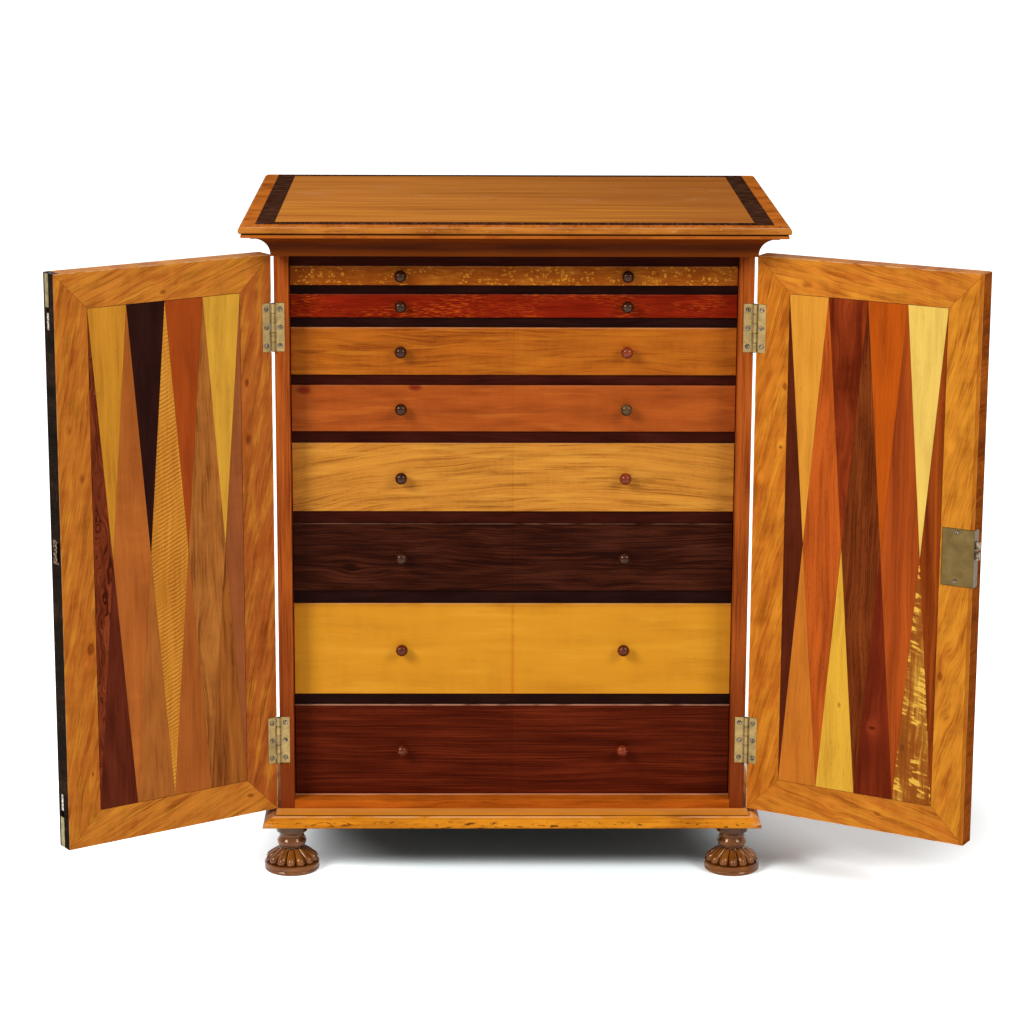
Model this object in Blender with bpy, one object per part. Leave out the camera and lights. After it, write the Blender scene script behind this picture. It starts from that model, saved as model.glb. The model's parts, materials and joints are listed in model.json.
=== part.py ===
"""Collectors cabinet: eight graduated drawers behind two open, panelled doors, on turned gadrooned feet.

Everything is in metres with +Z up. The pieces are laid out from the middle of the carcass's front
edge on the floor, and the whole then stands with the middle of its footprint on the world's origin.
"""
import math

import bmesh
import bpy
from mathutils import Matrix, Vector

# Shared fits
SEAT_GAP = 0.0003            # between pieces that are glued or seated on each other
CUT_OVERRUN = 0.004          # how far every cutter passes the face that it opens

# Carcass
CARCASS_WIDTH = 0.490
CARCASS_DEPTH = 0.364
SIDE_THICKNESS = 0.0146
BOTTOM_THICKNESS = 0.0092
CARCASS_TOP_THICKNESS = 0.0145
TOP_RAIL_DEPTH = 0.018
HOUSING_DEPTH = 0.005        # how far shelves reach into the sides
BACK_THICKNESS = 0.008
BACK_REBATE = 0.007          # how far the back reaches into each side
BACK_BOARDS = 3
BACK_JOINT = 0.0016          # width of the V between two back boards, half as deep

# Drawers and the dividers between them, listed from the top one down
DRAWER_HEIGHTS = (0.020, 0.024, 0.0495, 0.0485, 0.0725, 0.0725, 0.0985, 0.0985)
DIVIDER_THICKNESSES = (0.0085, 0.0095, 0.010, 0.0115, 0.012, 0.013, 0.011)
DRAWER_SET_BACK = 0.020      # drawer faces behind the carcass's front edges, room for the knobs
DIVIDER_SET_BACK = 0.002     # dividers behind the drawer faces
DRAWER_CLEARANCE_BELOW = 0.0004
DRAWER_CLEARANCE_ABOVE = 0.0006
DRAWER_SIDE_CLEARANCE = 0.0007
DRAWER_BACK_CLEARANCE = 0.014
DRAWER_FRONT = 0.014
DRAWER_WALL = 0.008
DRAWER_BOTTOM = 0.004
DRAWER_BOTTOM_RAISE = 0.003  # the bottom board sits this far above the lower edges
DRAWER_ARRIS = 0.0005
DIVIDER_RAIL_DEPTH = 0.045
DUST_BOARD = 0.006           # thickness of a divider behind its front rail

# Turned knobs, two on each drawer
KNOB_PLACE_SHARE = 0.5072    # of the half width of a drawer, from its middle
KNOB_HEAD_RADIUS = 0.0063
KNOB_NECK_RADIUS = 0.0036
KNOB_FOOT_RADIUS = 0.0044
KNOB_PROJECTION = 0.0123
KNOB_SPIGOT_RADIUS = 0.003
KNOB_SIDES = 12
# Rows of a knob's outline: height as a share of the projection, radius as a share of the head
KNOB_DOME_SHARES = ((0.60, 1.0), (0.76, 0.94), (0.90, 0.68), (0.98, 0.32))
KNOB_NECK_SHARE = 0.24

# Doors: a mitred frame round a panel
DOOR_THICKNESS = 0.023
DOOR_GAP = 0.0014            # between a shut door and the carcass
DOOR_CLEARANCE = 0.0008      # above and below a door
MEETING_GAP = 0.0010         # between the two shut doors
DOOR_FRAME_WIDTH = 0.0363
MEETING_ROUND = 0.003        # rounding of the outer arris where the doors meet
PANEL_GROOVE = 0.006         # depth of the groove that holds the panel
PANEL_TONGUE = 0.008         # thickness of the panel's edge in that groove
PANEL_INNER_SET_BACK = 0.0005
PANEL_OUTER_SET_BACK = 0.0025
LEFT_DOOR_OPEN = 146.3       # degrees from shut, as it stands
RIGHT_DOOR_OPEN = 150.0

# Butt hinges, two on each door
HINGE_LENGTH = 0.050
HINGE_END_DISTANCE = 0.050   # from a door's end to the near end of its hinge
HINGE_OUTSET = 0.0013        # of the axis beyond the carcass's side
HINGE_LEAF_WIDTH = 0.0118    # from the axis
LEAF_THICKNESS = 0.0013
PIN_RADIUS = 0.0011
PIN_TIP = 0.0005             # how far the pin shows past its knuckles
PIN_CLEARANCE = 0.0003
KNUCKLES = 5
KNUCKLE_GAP = 0.0003
BARREL_SIDES = 12

# Lock in the right door, and its two link bolts
LOCK_HEIGHT_SHARE = 0.5114   # of the door's height, up to the middle of the lock
LOCK_WIDTH = 0.0345
LOCK_HEIGHT = 0.0595
LOCK_PLATE = 0.0015
LOCK_EDGE_WIDTH = 0.0115     # of the plate on the door's edge
LOCK_CASE_WIDTH = 0.024
LOCK_CASE_HEIGHT = 0.046
LOCK_CASE_DEPTH = 0.009
BOLT_HEIGHT = 0.008
BOLT_SPACING = 0.0105
BOLT_ABOVE_MIDDLE = 0.00825  # middle of the pair above the middle of the lock
BOLT_THICKNESS = 0.004
BOLT_FROM_FACE = 0.0035      # from the door's inner face to the bolts
BOLT_PROJECTION = 0.004
BOLT_TRAVEL = 0.0045
BOLT_BAR = 0.004             # the bar that joins the two bolts inside the case
BOLT_SHANK = 0.012           # length of a bolt inside the door
KEYHOLE_RADIUS = 0.0022
KEYHOLE_SLOT = 0.0022
KEYHOLE_LENGTH = 0.009
MORTISE_DEPTH = 0.007        # in the left door's edge, for the link bolts
MORTISE_MARGIN = 0.001

# Flush bolts in the left door's free edge
FLUSH_BOLT_THICKNESS = 0.004
FLUSH_BOLT_FROM_FACE = 0.0105
FLUSH_BOLT_DEPTH = 0.0055
FLUSH_BOLT_ROD = 0.0033
FLUSH_BOLT_LENGTH = 0.0565
FLUSH_BOLT_THUMB = 0.017

# Base board, three moulded edges and a plain back one
BASE_THICKNESS = 0.012
BASE_FRONT = 0.0135          # of the base's core in front of the carcass
BASE_LEDGE = 0.004           # of the upper ledge beyond the core
BASE_PROJECTION = 0.0175     # of the lower edge beyond the core
BASE_FILLET = 0.0017
BASE_QUIRK = 0.0008
BASE_BACK = 0.004            # behind the carcass
MOULD_STEPS = 6              # pieces of each moulded curve
SHARP_ANGLE = 45             # degrees between faces from which a round piece keeps an edge
ROUND_PROFILE = 0.5          # shape of every bevel, a true round

# Turned feet
FOOT_HEIGHT = 0.053
FOOT_INSET = 0.029           # of a foot's middle from the base's lower edges
FOOT_DISC_RADIUS = 0.029
FOOT_DISC_HEIGHT = 0.0094
FOOT_LOBE_RADIUS = 0.0277
FOOT_LOBE_HEIGHT = 0.016
FOOT_LOBE_DEPTH_SHARE = 0.15
FOOT_NECK_RADIUS = 0.0122
FOOT_BEAD_RADIUS = 0.0154
FOOT_BEAD_HEIGHT = 0.0075
FOOT_BEAD_STEP = 0.0012      # of plain neck between the lobes and the bead
FOOT_COLLAR_RADIUS = 0.0164
FOOT_COLLAR_HEIGHT = 0.012
FOOT_LOBES = 14
POINTS_PER_LOBE = 4
LOBE_ROUNDNESS = 0.6         # lower makes the lobes fuller and the valleys narrower
# Rows of the lobed bulb: height and radius as shares of the lobes' height and radius, with how
# much of the lobes' relief shows there
FOOT_BULB_SHARES = ((0.00, 0.92, 0.6), (0.13, 1.0, 1.0), (0.34, 0.97, 1.0), (0.53, 0.89, 1.0),
                    (0.70, 0.77, 0.9), (1.0, 0.445, 0.0))

# Cornice, round the front and both sides under the top board
CORNICE_HEIGHT = 0.0217
CORNICE_FRONT = 0.0155       # of its core in front of the carcass
CORNICE_LOWER = 0.002        # projection of its lower edge beyond the core
CORNICE_UPPER = 0.021
CORNICE_FILLET = 0.0015
SOCKET_DEPTH = 0.007         # of the holes for the flush bolts

# Top board
TOP_THICKNESS = 0.012
TOP_FRONT = 0.0145
TOP_PROJECTION = 0.0325
TOP_BACK = 0.012             # behind the carcass
THUMB_DROP = 0.0045          # of the widest line below the top
THUMB_RUN = 0.005            # of the upper curve in from the edge
THUMB_HEIGHT = 0.0075
THUMB_TUCK = 0.0015
TOP_QUIRK_HEIGHT = 0.0015
TOP_QUIRK_DEPTH = 0.004
TOP_FILLET_INSET = 0.0025

# Heights, from the floor up
base_bottom = FOOT_HEIGHT + SEAT_GAP
base_top = base_bottom + BASE_THICKNESS
carcass_bottom = base_top + SEAT_GAP
drawer_bottoms = [0.0] * len(DRAWER_HEIGHTS)
divider_bottoms = [0.0] * len(DIVIDER_THICKNESSES)
level = carcass_bottom + BOTTOM_THICKNESS
for place in reversed(range(len(DRAWER_HEIGHTS))):
    drawer_bottoms[place] = level + DRAWER_CLEARANCE_BELOW
    level = drawer_bottoms[place] + DRAWER_HEIGHTS[place] + DRAWER_CLEARANCE_ABOVE
    if place > 0:
        divider_bottoms[place - 1] = level
        level += DIVIDER_THICKNESSES[place - 1]
top_shelf_bottom = level
cornice_bottom = top_shelf_bottom + CARCASS_TOP_THICKNESS + SEAT_GAP
cornice_top = cornice_bottom + CORNICE_HEIGHT
top_board_bottom = cornice_top + SEAT_GAP
door_bottom = base_top + DOOR_CLEARANCE
door_top = cornice_bottom - DOOR_CLEARANCE
door_height = door_top - door_bottom

# Places across the cabinet and across a door, the door's measured from its hinge axis
half_width = CARCASS_WIDTH / 2
inner_half = half_width - SIDE_THICKNESS
housed_half = inner_half + HOUSING_DEPTH
back_face = CARCASS_DEPTH - BACK_THICKNESS
drawer_half = inner_half - DRAWER_SIDE_CLEARANCE
drawer_length = back_face - DRAWER_SET_BACK - DRAWER_BACK_CLEARANCE
hinge_edge = HINGE_OUTSET
free_edge = half_width + HINGE_OUTSET - MEETING_GAP / 2
inner_face = DOOR_GAP / 2
outer_face = inner_face + DOOR_THICKNESS
barrel_radius = PIN_RADIUS + LEAF_THICKNESS
lock_middle = door_bottom + door_height * LOCK_HEIGHT_SHARE
bolt_middle = lock_middle + BOLT_ABOVE_MIDDLE
LEFT = -1
RIGHT = 1


def material(name, colour, roughness, metallic=0.0):
    """Return a plain Principled material."""
    made = bpy.data.materials.new(name)
    made.use_nodes = True
    shader = made.node_tree.nodes["Principled BSDF"]
    shader.inputs["Base Color"].default_value = (*colour, 1.0)
    shader.inputs["Roughness"].default_value = roughness
    shader.inputs["Metallic"].default_value = metallic
    return made


def place_empty(name, location, parent, turn=0.0):
    """Add an empty that carries the pieces of one group."""
    empty = bpy.data.objects.new(name, None)
    empty.location = location
    empty.rotation_euler = (0.0, 0.0, turn)
    empty.parent = parent
    bpy.context.scene.collection.objects.link(empty)
    return empty


def add_object(name, bm, parent, finish, location=(0.0, 0.0, 0.0)):
    """Turn a finished bmesh into a named object with its faces pointing out."""
    bmesh.ops.recalc_face_normals(bm, faces=bm.faces)
    mesh = bpy.data.meshes.new(name)
    bm.to_mesh(mesh)
    bm.free()
    return add_copy(name, mesh, parent, finish, location)


def add_copy(name, mesh, parent, finish, location):
    """Add an object on a mesh that may already serve another one."""
    made = bpy.data.objects.new(name, mesh)
    if finish is not None and not mesh.materials:
        mesh.materials.append(finish)
    made.location = location
    made.parent = parent
    bpy.context.scene.collection.objects.link(made)
    return made


def smooth(made):
    """Shade a round piece smooth between its real edges."""
    made.data.shade_smooth()
    made.data.set_sharp_from_angle(angle=math.radians(SHARP_ANGLE))


def cut(target, name, bm, operation="DIFFERENCE"):
    """Cut one shape out of a piece, or join one to it."""
    cutter = add_object(f"{operation.lower()}_{target.name}_{name}", bm, target.parent, None,
                        target.location)
    cutter.hide_render = True
    cutter.display_type = "WIRE"
    step = target.modifiers.new(name, "BOOLEAN")
    step.operation = operation
    step.solver = "EXACT"
    step.object = cutter


def add_box(bm, low, high):
    """Add a box between two corners."""
    size = [b - a for a, b in zip(low, high)]
    middle = [(a + b) / 2 for a, b in zip(low, high)]
    scaled = Matrix.Translation(middle) @ Matrix.Diagonal((*size, 1.0))
    bmesh.ops.create_cube(bm, size=1.0, matrix=scaled)


def box(low, high):
    """Return a bmesh with one box."""
    bm = bmesh.new()
    add_box(bm, low, high)
    return bm


def add_prism(bm, outline, place_point, start, end):
    """Extrude a flat outline from start to end; place_point gives a corner's place in space."""
    face = bm.faces.new([bm.verts.new(place_point(a, b, start)) for a, b in outline])
    made = bmesh.ops.extrude_face_region(bm, geom=[face])
    far = [v for v in made["geom"] if isinstance(v, bmesh.types.BMVert)]
    shift = Vector(place_point(*outline[0], end)) - Vector(place_point(*outline[0], start))
    bmesh.ops.translate(bm, verts=far, vec=shift)


def prism(outline, place_point, start, end):
    """Return a bmesh with one extruded outline."""
    bm = bmesh.new()
    add_prism(bm, outline, place_point, start, end)
    return bm


def along_x(a, b, run):
    return (run, a, b)


def along_z(a, b, run):
    return (a, b, run)


def loft(rings, closed=False):
    """Skin rings of equally many points; the ends are capped unless the skin closes on itself."""
    bm = bmesh.new()
    rows = [[bm.verts.new(point) for point in ring] for ring in rings]
    pairs = list(zip(rows, rows[1:]))
    if closed:
        pairs.append((rows[-1], rows[0]))
    else:
        bm.faces.new(rows[0])
        bm.faces.new(rows[-1])
    for near, far in pairs:
        for index in range(len(near)):
            after = (index + 1) % len(near)
            bm.faces.new((near[index], near[after], far[after], far[index]))
    return bm


def turned(outline, sides):
    """Spin an outline of radius and height, listed from one end of the axis to the other."""
    bm = bmesh.new()
    ends = [bm.verts.new((0.0, 0.0, height)) for radius, height in (outline[0], outline[-1])]
    line = [bm.verts.new((radius, 0.0, height)) for radius, height in outline]
    chain = [ends[0], *line, ends[1]]
    edges = [bm.edges.new(pair) for pair in zip(chain, chain[1:])]
    bmesh.ops.spin(bm, geom=chain + edges, axis=(0.0, 0.0, 1.0), cent=(0.0, 0.0, 0.0),
                   angle=math.tau, steps=sides, use_merge=True)
    bmesh.ops.remove_doubles(bm, verts=bm.verts, dist=SEAT_GAP / sides)
    return bm


def add_round(bm, radius, middle, start, end, sides, upright=True):
    """Add a round bar, standing upright or lying along Y."""
    length = end - start
    if upright:
        matrix = Matrix.Translation((*middle, (start + end) / 2))
    else:
        across, height = middle
        matrix = Matrix.Translation((across, (start + end) / 2, height)) @ Matrix.Rotation(
            math.pi / 2, 4, "X")
    bmesh.ops.create_cone(bm, cap_ends=True, segments=sides, radius1=radius, radius2=radius,
                          depth=length, matrix=matrix)


def slab_ring(side, front, back, height):
    """Four corners of a slab at one height."""
    return ((-side, front, height), (side, front, height), (side, back, height), (-side, back, height))


def quarter(start, end, bulge_first, steps=MOULD_STEPS):
    """Points of a quarter ellipse between two corners of an outline, both ends left out."""
    points = []
    for step in range(1, steps):
        turn = math.pi / 2 * step / steps
        if bulge_first:
            shares = (math.sin(turn), 1 - math.cos(turn))
        else:
            shares = (1 - math.cos(turn), math.sin(turn))
        points.append(tuple(a + (b - a) * share for a, b, share in zip(start, end, shares)))
    return points


# Carcass boards
def shelf_outline(bottom, thickness, grow=0.0):
    """Side view of a divider: a full front rail, and a thinner dust board level with its top."""
    front = DRAWER_SET_BACK + DIVIDER_SET_BACK - grow
    rail_back = DRAWER_SET_BACK + DIVIDER_SET_BACK + DIVIDER_RAIL_DEPTH + grow
    back = back_face - SEAT_GAP + (CUT_OVERRUN if grow else 0.0)
    top = bottom + thickness + grow
    board_bottom = bottom + thickness - DUST_BOARD - grow
    low = bottom - grow
    return ((front, low), (rail_back, low), (rail_back, board_bottom), (back, board_bottom),
            (back, top), (front, top))


def plain_shelf_outline(bottom, thickness, grow=0.0):
    """Side view of the plain boards under and over the drawers, behind the drawers' faces."""
    front = DRAWER_SET_BACK - grow
    back = back_face - SEAT_GAP + (CUT_OVERRUN if grow else 0.0)
    return ((front, bottom - grow), (back, bottom - grow), (back, bottom + thickness + grow),
            (front, bottom + thickness + grow))


def housings():
    """Outlines of all the grooves that the sides have for shelves, grown by the seat's gap."""
    made = [shelf_outline(bottom, thickness, SEAT_GAP)
            for bottom, thickness in zip(divider_bottoms, DIVIDER_THICKNESSES)]
    made.append(plain_shelf_outline(top_shelf_bottom, CARCASS_TOP_THICKNESS, SEAT_GAP))
    return made


def make_side(name, side, parent, finish):
    """Board with stopped grooves for the shelves, a rebate for the back and room for the hinges."""
    outer = side * half_width
    inner = side * inner_half
    low = (min(outer, inner), 0.0, carcass_bottom)
    high = (max(outer, inner), CARCASS_DEPTH, cornice_top)
    board = add_object(name, box(low, high), parent, finish)

    grooves = bmesh.new()
    groove_end = side * (housed_half + SEAT_GAP)
    groove_start = side * (inner_half - CUT_OVERRUN)
    for outline in housings():
        add_prism(grooves, outline, along_x, groove_start, groove_end)
    cut(board, "grooves", grooves)

    # The bottom board's housing is open below, because the board lies on the base
    floor = prism(plain_shelf_outline(carcass_bottom, BOTTOM_THICKNESS, SEAT_GAP), along_x,
                  groove_start, groove_end)
    cut(board, "floor", floor)

    rebate_side = side * (inner_half + BACK_REBATE)
    across = sorted((side * (inner_half - CUT_OVERRUN), rebate_side))
    rebate = box((across[0], back_face - SEAT_GAP, carcass_bottom - CUT_OVERRUN),
                 (across[1], CARCASS_DEPTH + CUT_OVERRUN, cornice_top + CUT_OVERRUN))
    cut(board, "rebate", rebate)
    cut_hinge_gains(board, side, 1)


def make_shelf(name, outline, parent, finish):
    """Shelf housed in both sides."""
    reach = housed_half
    add_object(name, prism(outline, along_x, -reach, reach), parent, finish)


def make_bottom(parent, finish):
    """Bottom board, flush with the front between the sides and housed in them behind that."""
    front_half = inner_half - SEAT_GAP
    back = back_face - SEAT_GAP
    outline = ((-front_half, 0.0), (front_half, 0.0), (front_half, DRAWER_SET_BACK),
               (housed_half, DRAWER_SET_BACK), (housed_half, back), (-housed_half, back),
               (-housed_half, DRAWER_SET_BACK), (-front_half, DRAWER_SET_BACK))
    add_object("carcass_bottom", prism(outline, along_z, carcass_bottom,
                                       carcass_bottom + BOTTOM_THICKNESS), parent, finish)


def make_top_rail(parent, finish):
    """Rail between the sides behind the cornice."""
    reach = inner_half - SEAT_GAP
    rail = box((-reach, 0.0, cornice_bottom), (reach, TOP_RAIL_DEPTH, cornice_top))
    add_object("top_rail", rail, parent, finish)


def make_back(parent, finish):
    """Back of upright boards, with a V where two of them meet."""
    reach = inner_half + BACK_REBATE - SEAT_GAP
    outline = [(-reach, back_face), (reach, back_face), (reach, CARCASS_DEPTH)]
    for joint in reversed(range(1, BACK_BOARDS)):
        middle = -reach + 2 * reach * joint / BACK_BOARDS
        outline += [(middle + BACK_JOINT / 2, CARCASS_DEPTH), (middle, CARCASS_DEPTH - BACK_JOINT / 2),
                    (middle - BACK_JOINT / 2, CARCASS_DEPTH)]
    outline.append((-reach, CARCASS_DEPTH))
    add_object("back_panel", prism(outline, along_z, carcass_bottom, cornice_top), parent, finish)


# Mouldings
def base_outline():
    """Projection beyond the core and height, from the lower edge up."""
    low = (BASE_PROJECTION, base_bottom)
    fillet_low = base_top - BASE_FILLET
    ovolo_top = (BASE_LEDGE - BASE_QUIRK, fillet_low - BASE_QUIRK)
    return [low, *quarter(low, ovolo_top, False), ovolo_top,
            (BASE_LEDGE - BASE_QUIRK, fillet_low), (BASE_LEDGE, fillet_low), (BASE_LEDGE, base_top)]


def top_outline():
    """Projection beyond the core and height, from the lower edge up."""
    top = top_board_bottom + TOP_THICKNESS
    fillet = TOP_PROJECTION - TOP_FILLET_INSET
    quirk = TOP_PROJECTION - TOP_QUIRK_DEPTH
    thumb_low = top - THUMB_HEIGHT
    tuck = (TOP_PROJECTION - THUMB_TUCK, thumb_low)
    widest = (TOP_PROJECTION, top - THUMB_DROP)
    crown = (TOP_PROJECTION - THUMB_RUN, top)
    return [(fillet, top_board_bottom), (fillet, thumb_low - TOP_QUIRK_HEIGHT),
            (quirk, thumb_low - TOP_QUIRK_HEIGHT), (quirk, thumb_low), tuck,
            *quarter(tuck, widest, True, MOULD_STEPS // 2), widest,
            *quarter(widest, crown, False), crown]


def make_slab(name, outline, core_front, back, parent, finish):
    """Board with one moulding run round its front and sides, mitred at the front corners."""
    bm = bmesh.new()
    corners = [slab_ring(half_width + out, -(core_front + out), back, height) for out, height in outline]
    rows = [[bm.verts.new(point) for point in ring] for ring in corners]
    for lower, upper in zip(rows, rows[1:]):
        for near, far in ((0, 1), (1, 2), (3, 0)):
            bm.faces.new((lower[near], lower[far], upper[far], upper[near]))
    bm.faces.new(rows[0])
    bm.faces.new(rows[-1])
    bm.faces.new([row[3] for row in rows] + [row[2] for row in reversed(rows)])
    return add_object(name, bm, parent, finish)


def make_base(parent, finish):
    """Base board with a blind socket for the left door's lower bolt."""
    base = make_slab("base_board", base_outline(), BASE_FRONT, CARCASS_DEPTH + BASE_BACK, parent, finish)
    cut(base, "bolt_socket", bolt_socket(base_top - SOCKET_DEPTH, base_top + CUT_OVERRUN))


def make_cornice(parent, finish):
    """Hollow moulding round the front and both sides, with a socket for the upper bolt."""
    low = (CORNICE_LOWER, cornice_bottom + CORNICE_FILLET)
    high = (CORNICE_UPPER, cornice_top - CORNICE_FILLET)
    outline = [(CORNICE_LOWER, cornice_bottom), low, *quarter(low, high, False), high,
               (CORNICE_UPPER, cornice_top)]
    front = [(half_width + out, -(CORNICE_FRONT + out), height) for out, height in outline]
    front += [(half_width + SEAT_GAP, -SEAT_GAP, cornice_top),
              (half_width + SEAT_GAP, -SEAT_GAP, cornice_bottom)]
    rings = [[(-x, CARCASS_DEPTH, z) for x, y, z in front], [(-x, y, z) for x, y, z in front],
             [(x, y, z) for x, y, z in front], [(x, CARCASS_DEPTH, z) for x, y, z in front]]
    cornice = add_object("cornice", loft(rings), parent, finish)
    cut(cornice, "bolt_socket", bolt_socket(cornice_bottom - CUT_OVERRUN, cornice_bottom + SOCKET_DEPTH))


def bolt_socket(start, end):
    """Hole that a flush bolt enters when the left door is shut."""
    near = -(MEETING_GAP / 2 + FLUSH_BOLT_DEPTH - FLUSH_BOLT_ROD) + SEAT_GAP
    far = -(MEETING_GAP / 2 + FLUSH_BOLT_DEPTH) - SEAT_GAP
    back = -(DOOR_GAP + FLUSH_BOLT_FROM_FACE) + SEAT_GAP
    front = -(DOOR_GAP + FLUSH_BOLT_FROM_FACE + FLUSH_BOLT_THICKNESS) - SEAT_GAP
    return box((far, front, start), (near, back, end))


# Feet
def foot_ring(radius, height, relief):
    """Ring of points at one height, scalloped into round lobes by the relief."""
    count = FOOT_LOBES * POINTS_PER_LOBE
    ring = []
    for index in range(count):
        turn = math.tau * index / count
        valley = 1 - abs(math.sin(turn * FOOT_LOBES / 2)) ** LOBE_ROUNDNESS
        reach = radius * (1 - FOOT_LOBE_DEPTH_SHARE * relief * valley)
        ring.append((reach * math.cos(turn), reach * math.sin(turn), height))
    return ring


def make_feet(parent, finish):
    """Turned feet: a disc, a gadrooned bulb, a bead between two necks, and a collar."""
    rings = [foot_ring(FOOT_DISC_RADIUS, 0.0, 0.0), foot_ring(FOOT_DISC_RADIUS, FOOT_DISC_HEIGHT, 0.0)]
    for height, radius, relief in FOOT_BULB_SHARES:
        rings.append(foot_ring(FOOT_LOBE_RADIUS * radius, FOOT_DISC_HEIGHT + FOOT_LOBE_HEIGHT * height,
                               relief))
    bead_low = FOOT_DISC_HEIGHT + FOOT_LOBE_HEIGHT + FOOT_BEAD_STEP
    bead_top = bead_low + FOOT_BEAD_HEIGHT
    collar_low = FOOT_HEIGHT - FOOT_COLLAR_HEIGHT
    rings.append(foot_ring(FOOT_NECK_RADIUS, bead_low, 0.0))
    rings.append(foot_ring(FOOT_BEAD_RADIUS, bead_low + FOOT_BEAD_HEIGHT / 3, 0.0))
    rings.append(foot_ring(FOOT_BEAD_RADIUS, bead_top - FOOT_BEAD_HEIGHT / 3, 0.0))
    rings.append(foot_ring(FOOT_NECK_RADIUS, bead_top, 0.0))
    rings.append(foot_ring(FOOT_COLLAR_RADIUS, collar_low, 0.0))
    rings.append(foot_ring(FOOT_COLLAR_RADIUS, FOOT_HEIGHT, 0.0))
    across = half_width + BASE_PROJECTION - FOOT_INSET
    front = -(BASE_FRONT + BASE_PROJECTION - FOOT_INSET)
    rear = CARCASS_DEPTH + BASE_BACK - FOOT_INSET
    places = {"foot_front_left": (-across, front, 0.0), "foot_front_right": (across, front, 0.0),
              "foot_rear_left": (-across, rear, 0.0), "foot_rear_right": (across, rear, 0.0)}
    mesh = None
    for name, place in places.items():
        if mesh is None:
            foot = add_object(name, loft(rings), parent, finish, place)
            smooth(foot)
            mesh = foot.data
        else:
            add_copy(name, mesh, parent, finish, place)


# Hinges
def hinge_spans():
    """Lower and upper height of each hinge."""
    return {"lower": (door_bottom + HINGE_END_DISTANCE, door_bottom + HINGE_END_DISTANCE + HINGE_LENGTH),
            "upper": (door_top - HINGE_END_DISTANCE - HINGE_LENGTH, door_top - HINGE_END_DISTANCE)}


def leaf_outline(side, facing):
    """Section of a leaf with its knuckle rolled round the axis."""
    surface = inner_face
    buried = inner_face + LEAF_THICKNESS
    start = math.asin(buried / barrel_radius)
    end = math.tau + math.asin(surface / barrel_radius)
    points = [(HINGE_LEAF_WIDTH, surface), (HINGE_LEAF_WIDTH, buried)]
    for step in range(BARREL_SIDES + 1):
        turn = start + (end - start) * step / BARREL_SIDES
        points.append((barrel_radius * math.cos(turn), barrel_radius * math.sin(turn)))
    return [(-side * a, facing * b) for a, b in points]


def make_leaf(name, side, facing, parent, location, span, finish):
    """One leaf: the fixed one keeps the odd knuckles and the pin, the door's the even ones."""
    start, end = span
    leaf = add_object(name, prism(leaf_outline(side, facing), along_z, start, end), parent, finish,
                      location)
    smooth(leaf)
    knuckle = (end - start) / KNUCKLES
    keeps_pin = facing > 0
    slots = bmesh.new()
    for index in range(KNUCKLES):
        if (index % 2 == 0) != keeps_pin:
            low = start + index * knuckle
            low -= KNUCKLE_GAP / 2 if index > 0 else CUT_OVERRUN
            high = start + (index + 1) * knuckle
            high += KNUCKLE_GAP / 2 if index < KNUCKLES - 1 else CUT_OVERRUN
            add_round(slots, barrel_radius + KNUCKLE_GAP, (0.0, 0.0), low, high, BARREL_SIDES)
    cut(leaf, "slots", slots)
    pin = bmesh.new()
    if keeps_pin:
        add_round(pin, PIN_RADIUS, (0.0, 0.0), start - PIN_TIP, end + PIN_TIP, BARREL_SIDES)
        cut(leaf, "pin", pin, "UNION")
    else:
        add_round(pin, PIN_RADIUS + PIN_CLEARANCE, (0.0, 0.0), start - CUT_OVERRUN, end + CUT_OVERRUN,
                  BARREL_SIDES)
        cut(leaf, "pin", pin)


def cut_hinge_gains(board, side, facing):
    """Sink both leaves of one board flush into it, and clear the barrels."""
    axis_x, axis_y = (side * (half_width + HINGE_OUTSET), -inner_face) if facing > 0 else (0.0, 0.0)
    gains = bmesh.new()
    reliefs = bmesh.new()
    across = sorted((axis_x, axis_x - side * (HINGE_LEAF_WIDTH + SEAT_GAP)))
    depth = sorted((axis_y + facing * (inner_face - CUT_OVERRUN),
                    axis_y + facing * (inner_face + LEAF_THICKNESS + SEAT_GAP)))
    for start, end in hinge_spans().values():
        add_box(gains, (across[0], depth[0], start - SEAT_GAP), (across[1], depth[1], end + SEAT_GAP))
        add_round(reliefs, barrel_radius + KNUCKLE_GAP + SEAT_GAP, (axis_x, axis_y),
                  start - PIN_TIP - SEAT_GAP, end + PIN_TIP + SEAT_GAP, BARREL_SIDES)
    cut(board, "gains", gains)
    cut(board, "barrels", reliefs)


# Doors, each built shut, from its hinge axis
def door_point(side):
    """Return a function that places a distance from the axis, a depth and a height on a door."""
    def place(from_axis, depth, height):
        return (-side * from_axis, -(inner_face + depth), height)
    return place


def door_rectangle(side, inset, depth):
    """Corners of a rectangle inside the door's outline, at one depth behind the inner face."""
    place = door_point(side)
    near, far = hinge_edge + inset, free_edge - inset
    low, high = door_bottom + inset, door_top - inset
    return [place(near, depth, low), place(far, depth, low), place(far, depth, high),
            place(near, depth, high)]


def door_box(side, near, far):
    """Box on a door between two corners of distance, depth and height."""
    place = door_point(side)
    a, b = place(*near), place(*far)
    return box([min(pair) for pair in zip(a, b)], [max(pair) for pair in zip(a, b)])


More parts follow.
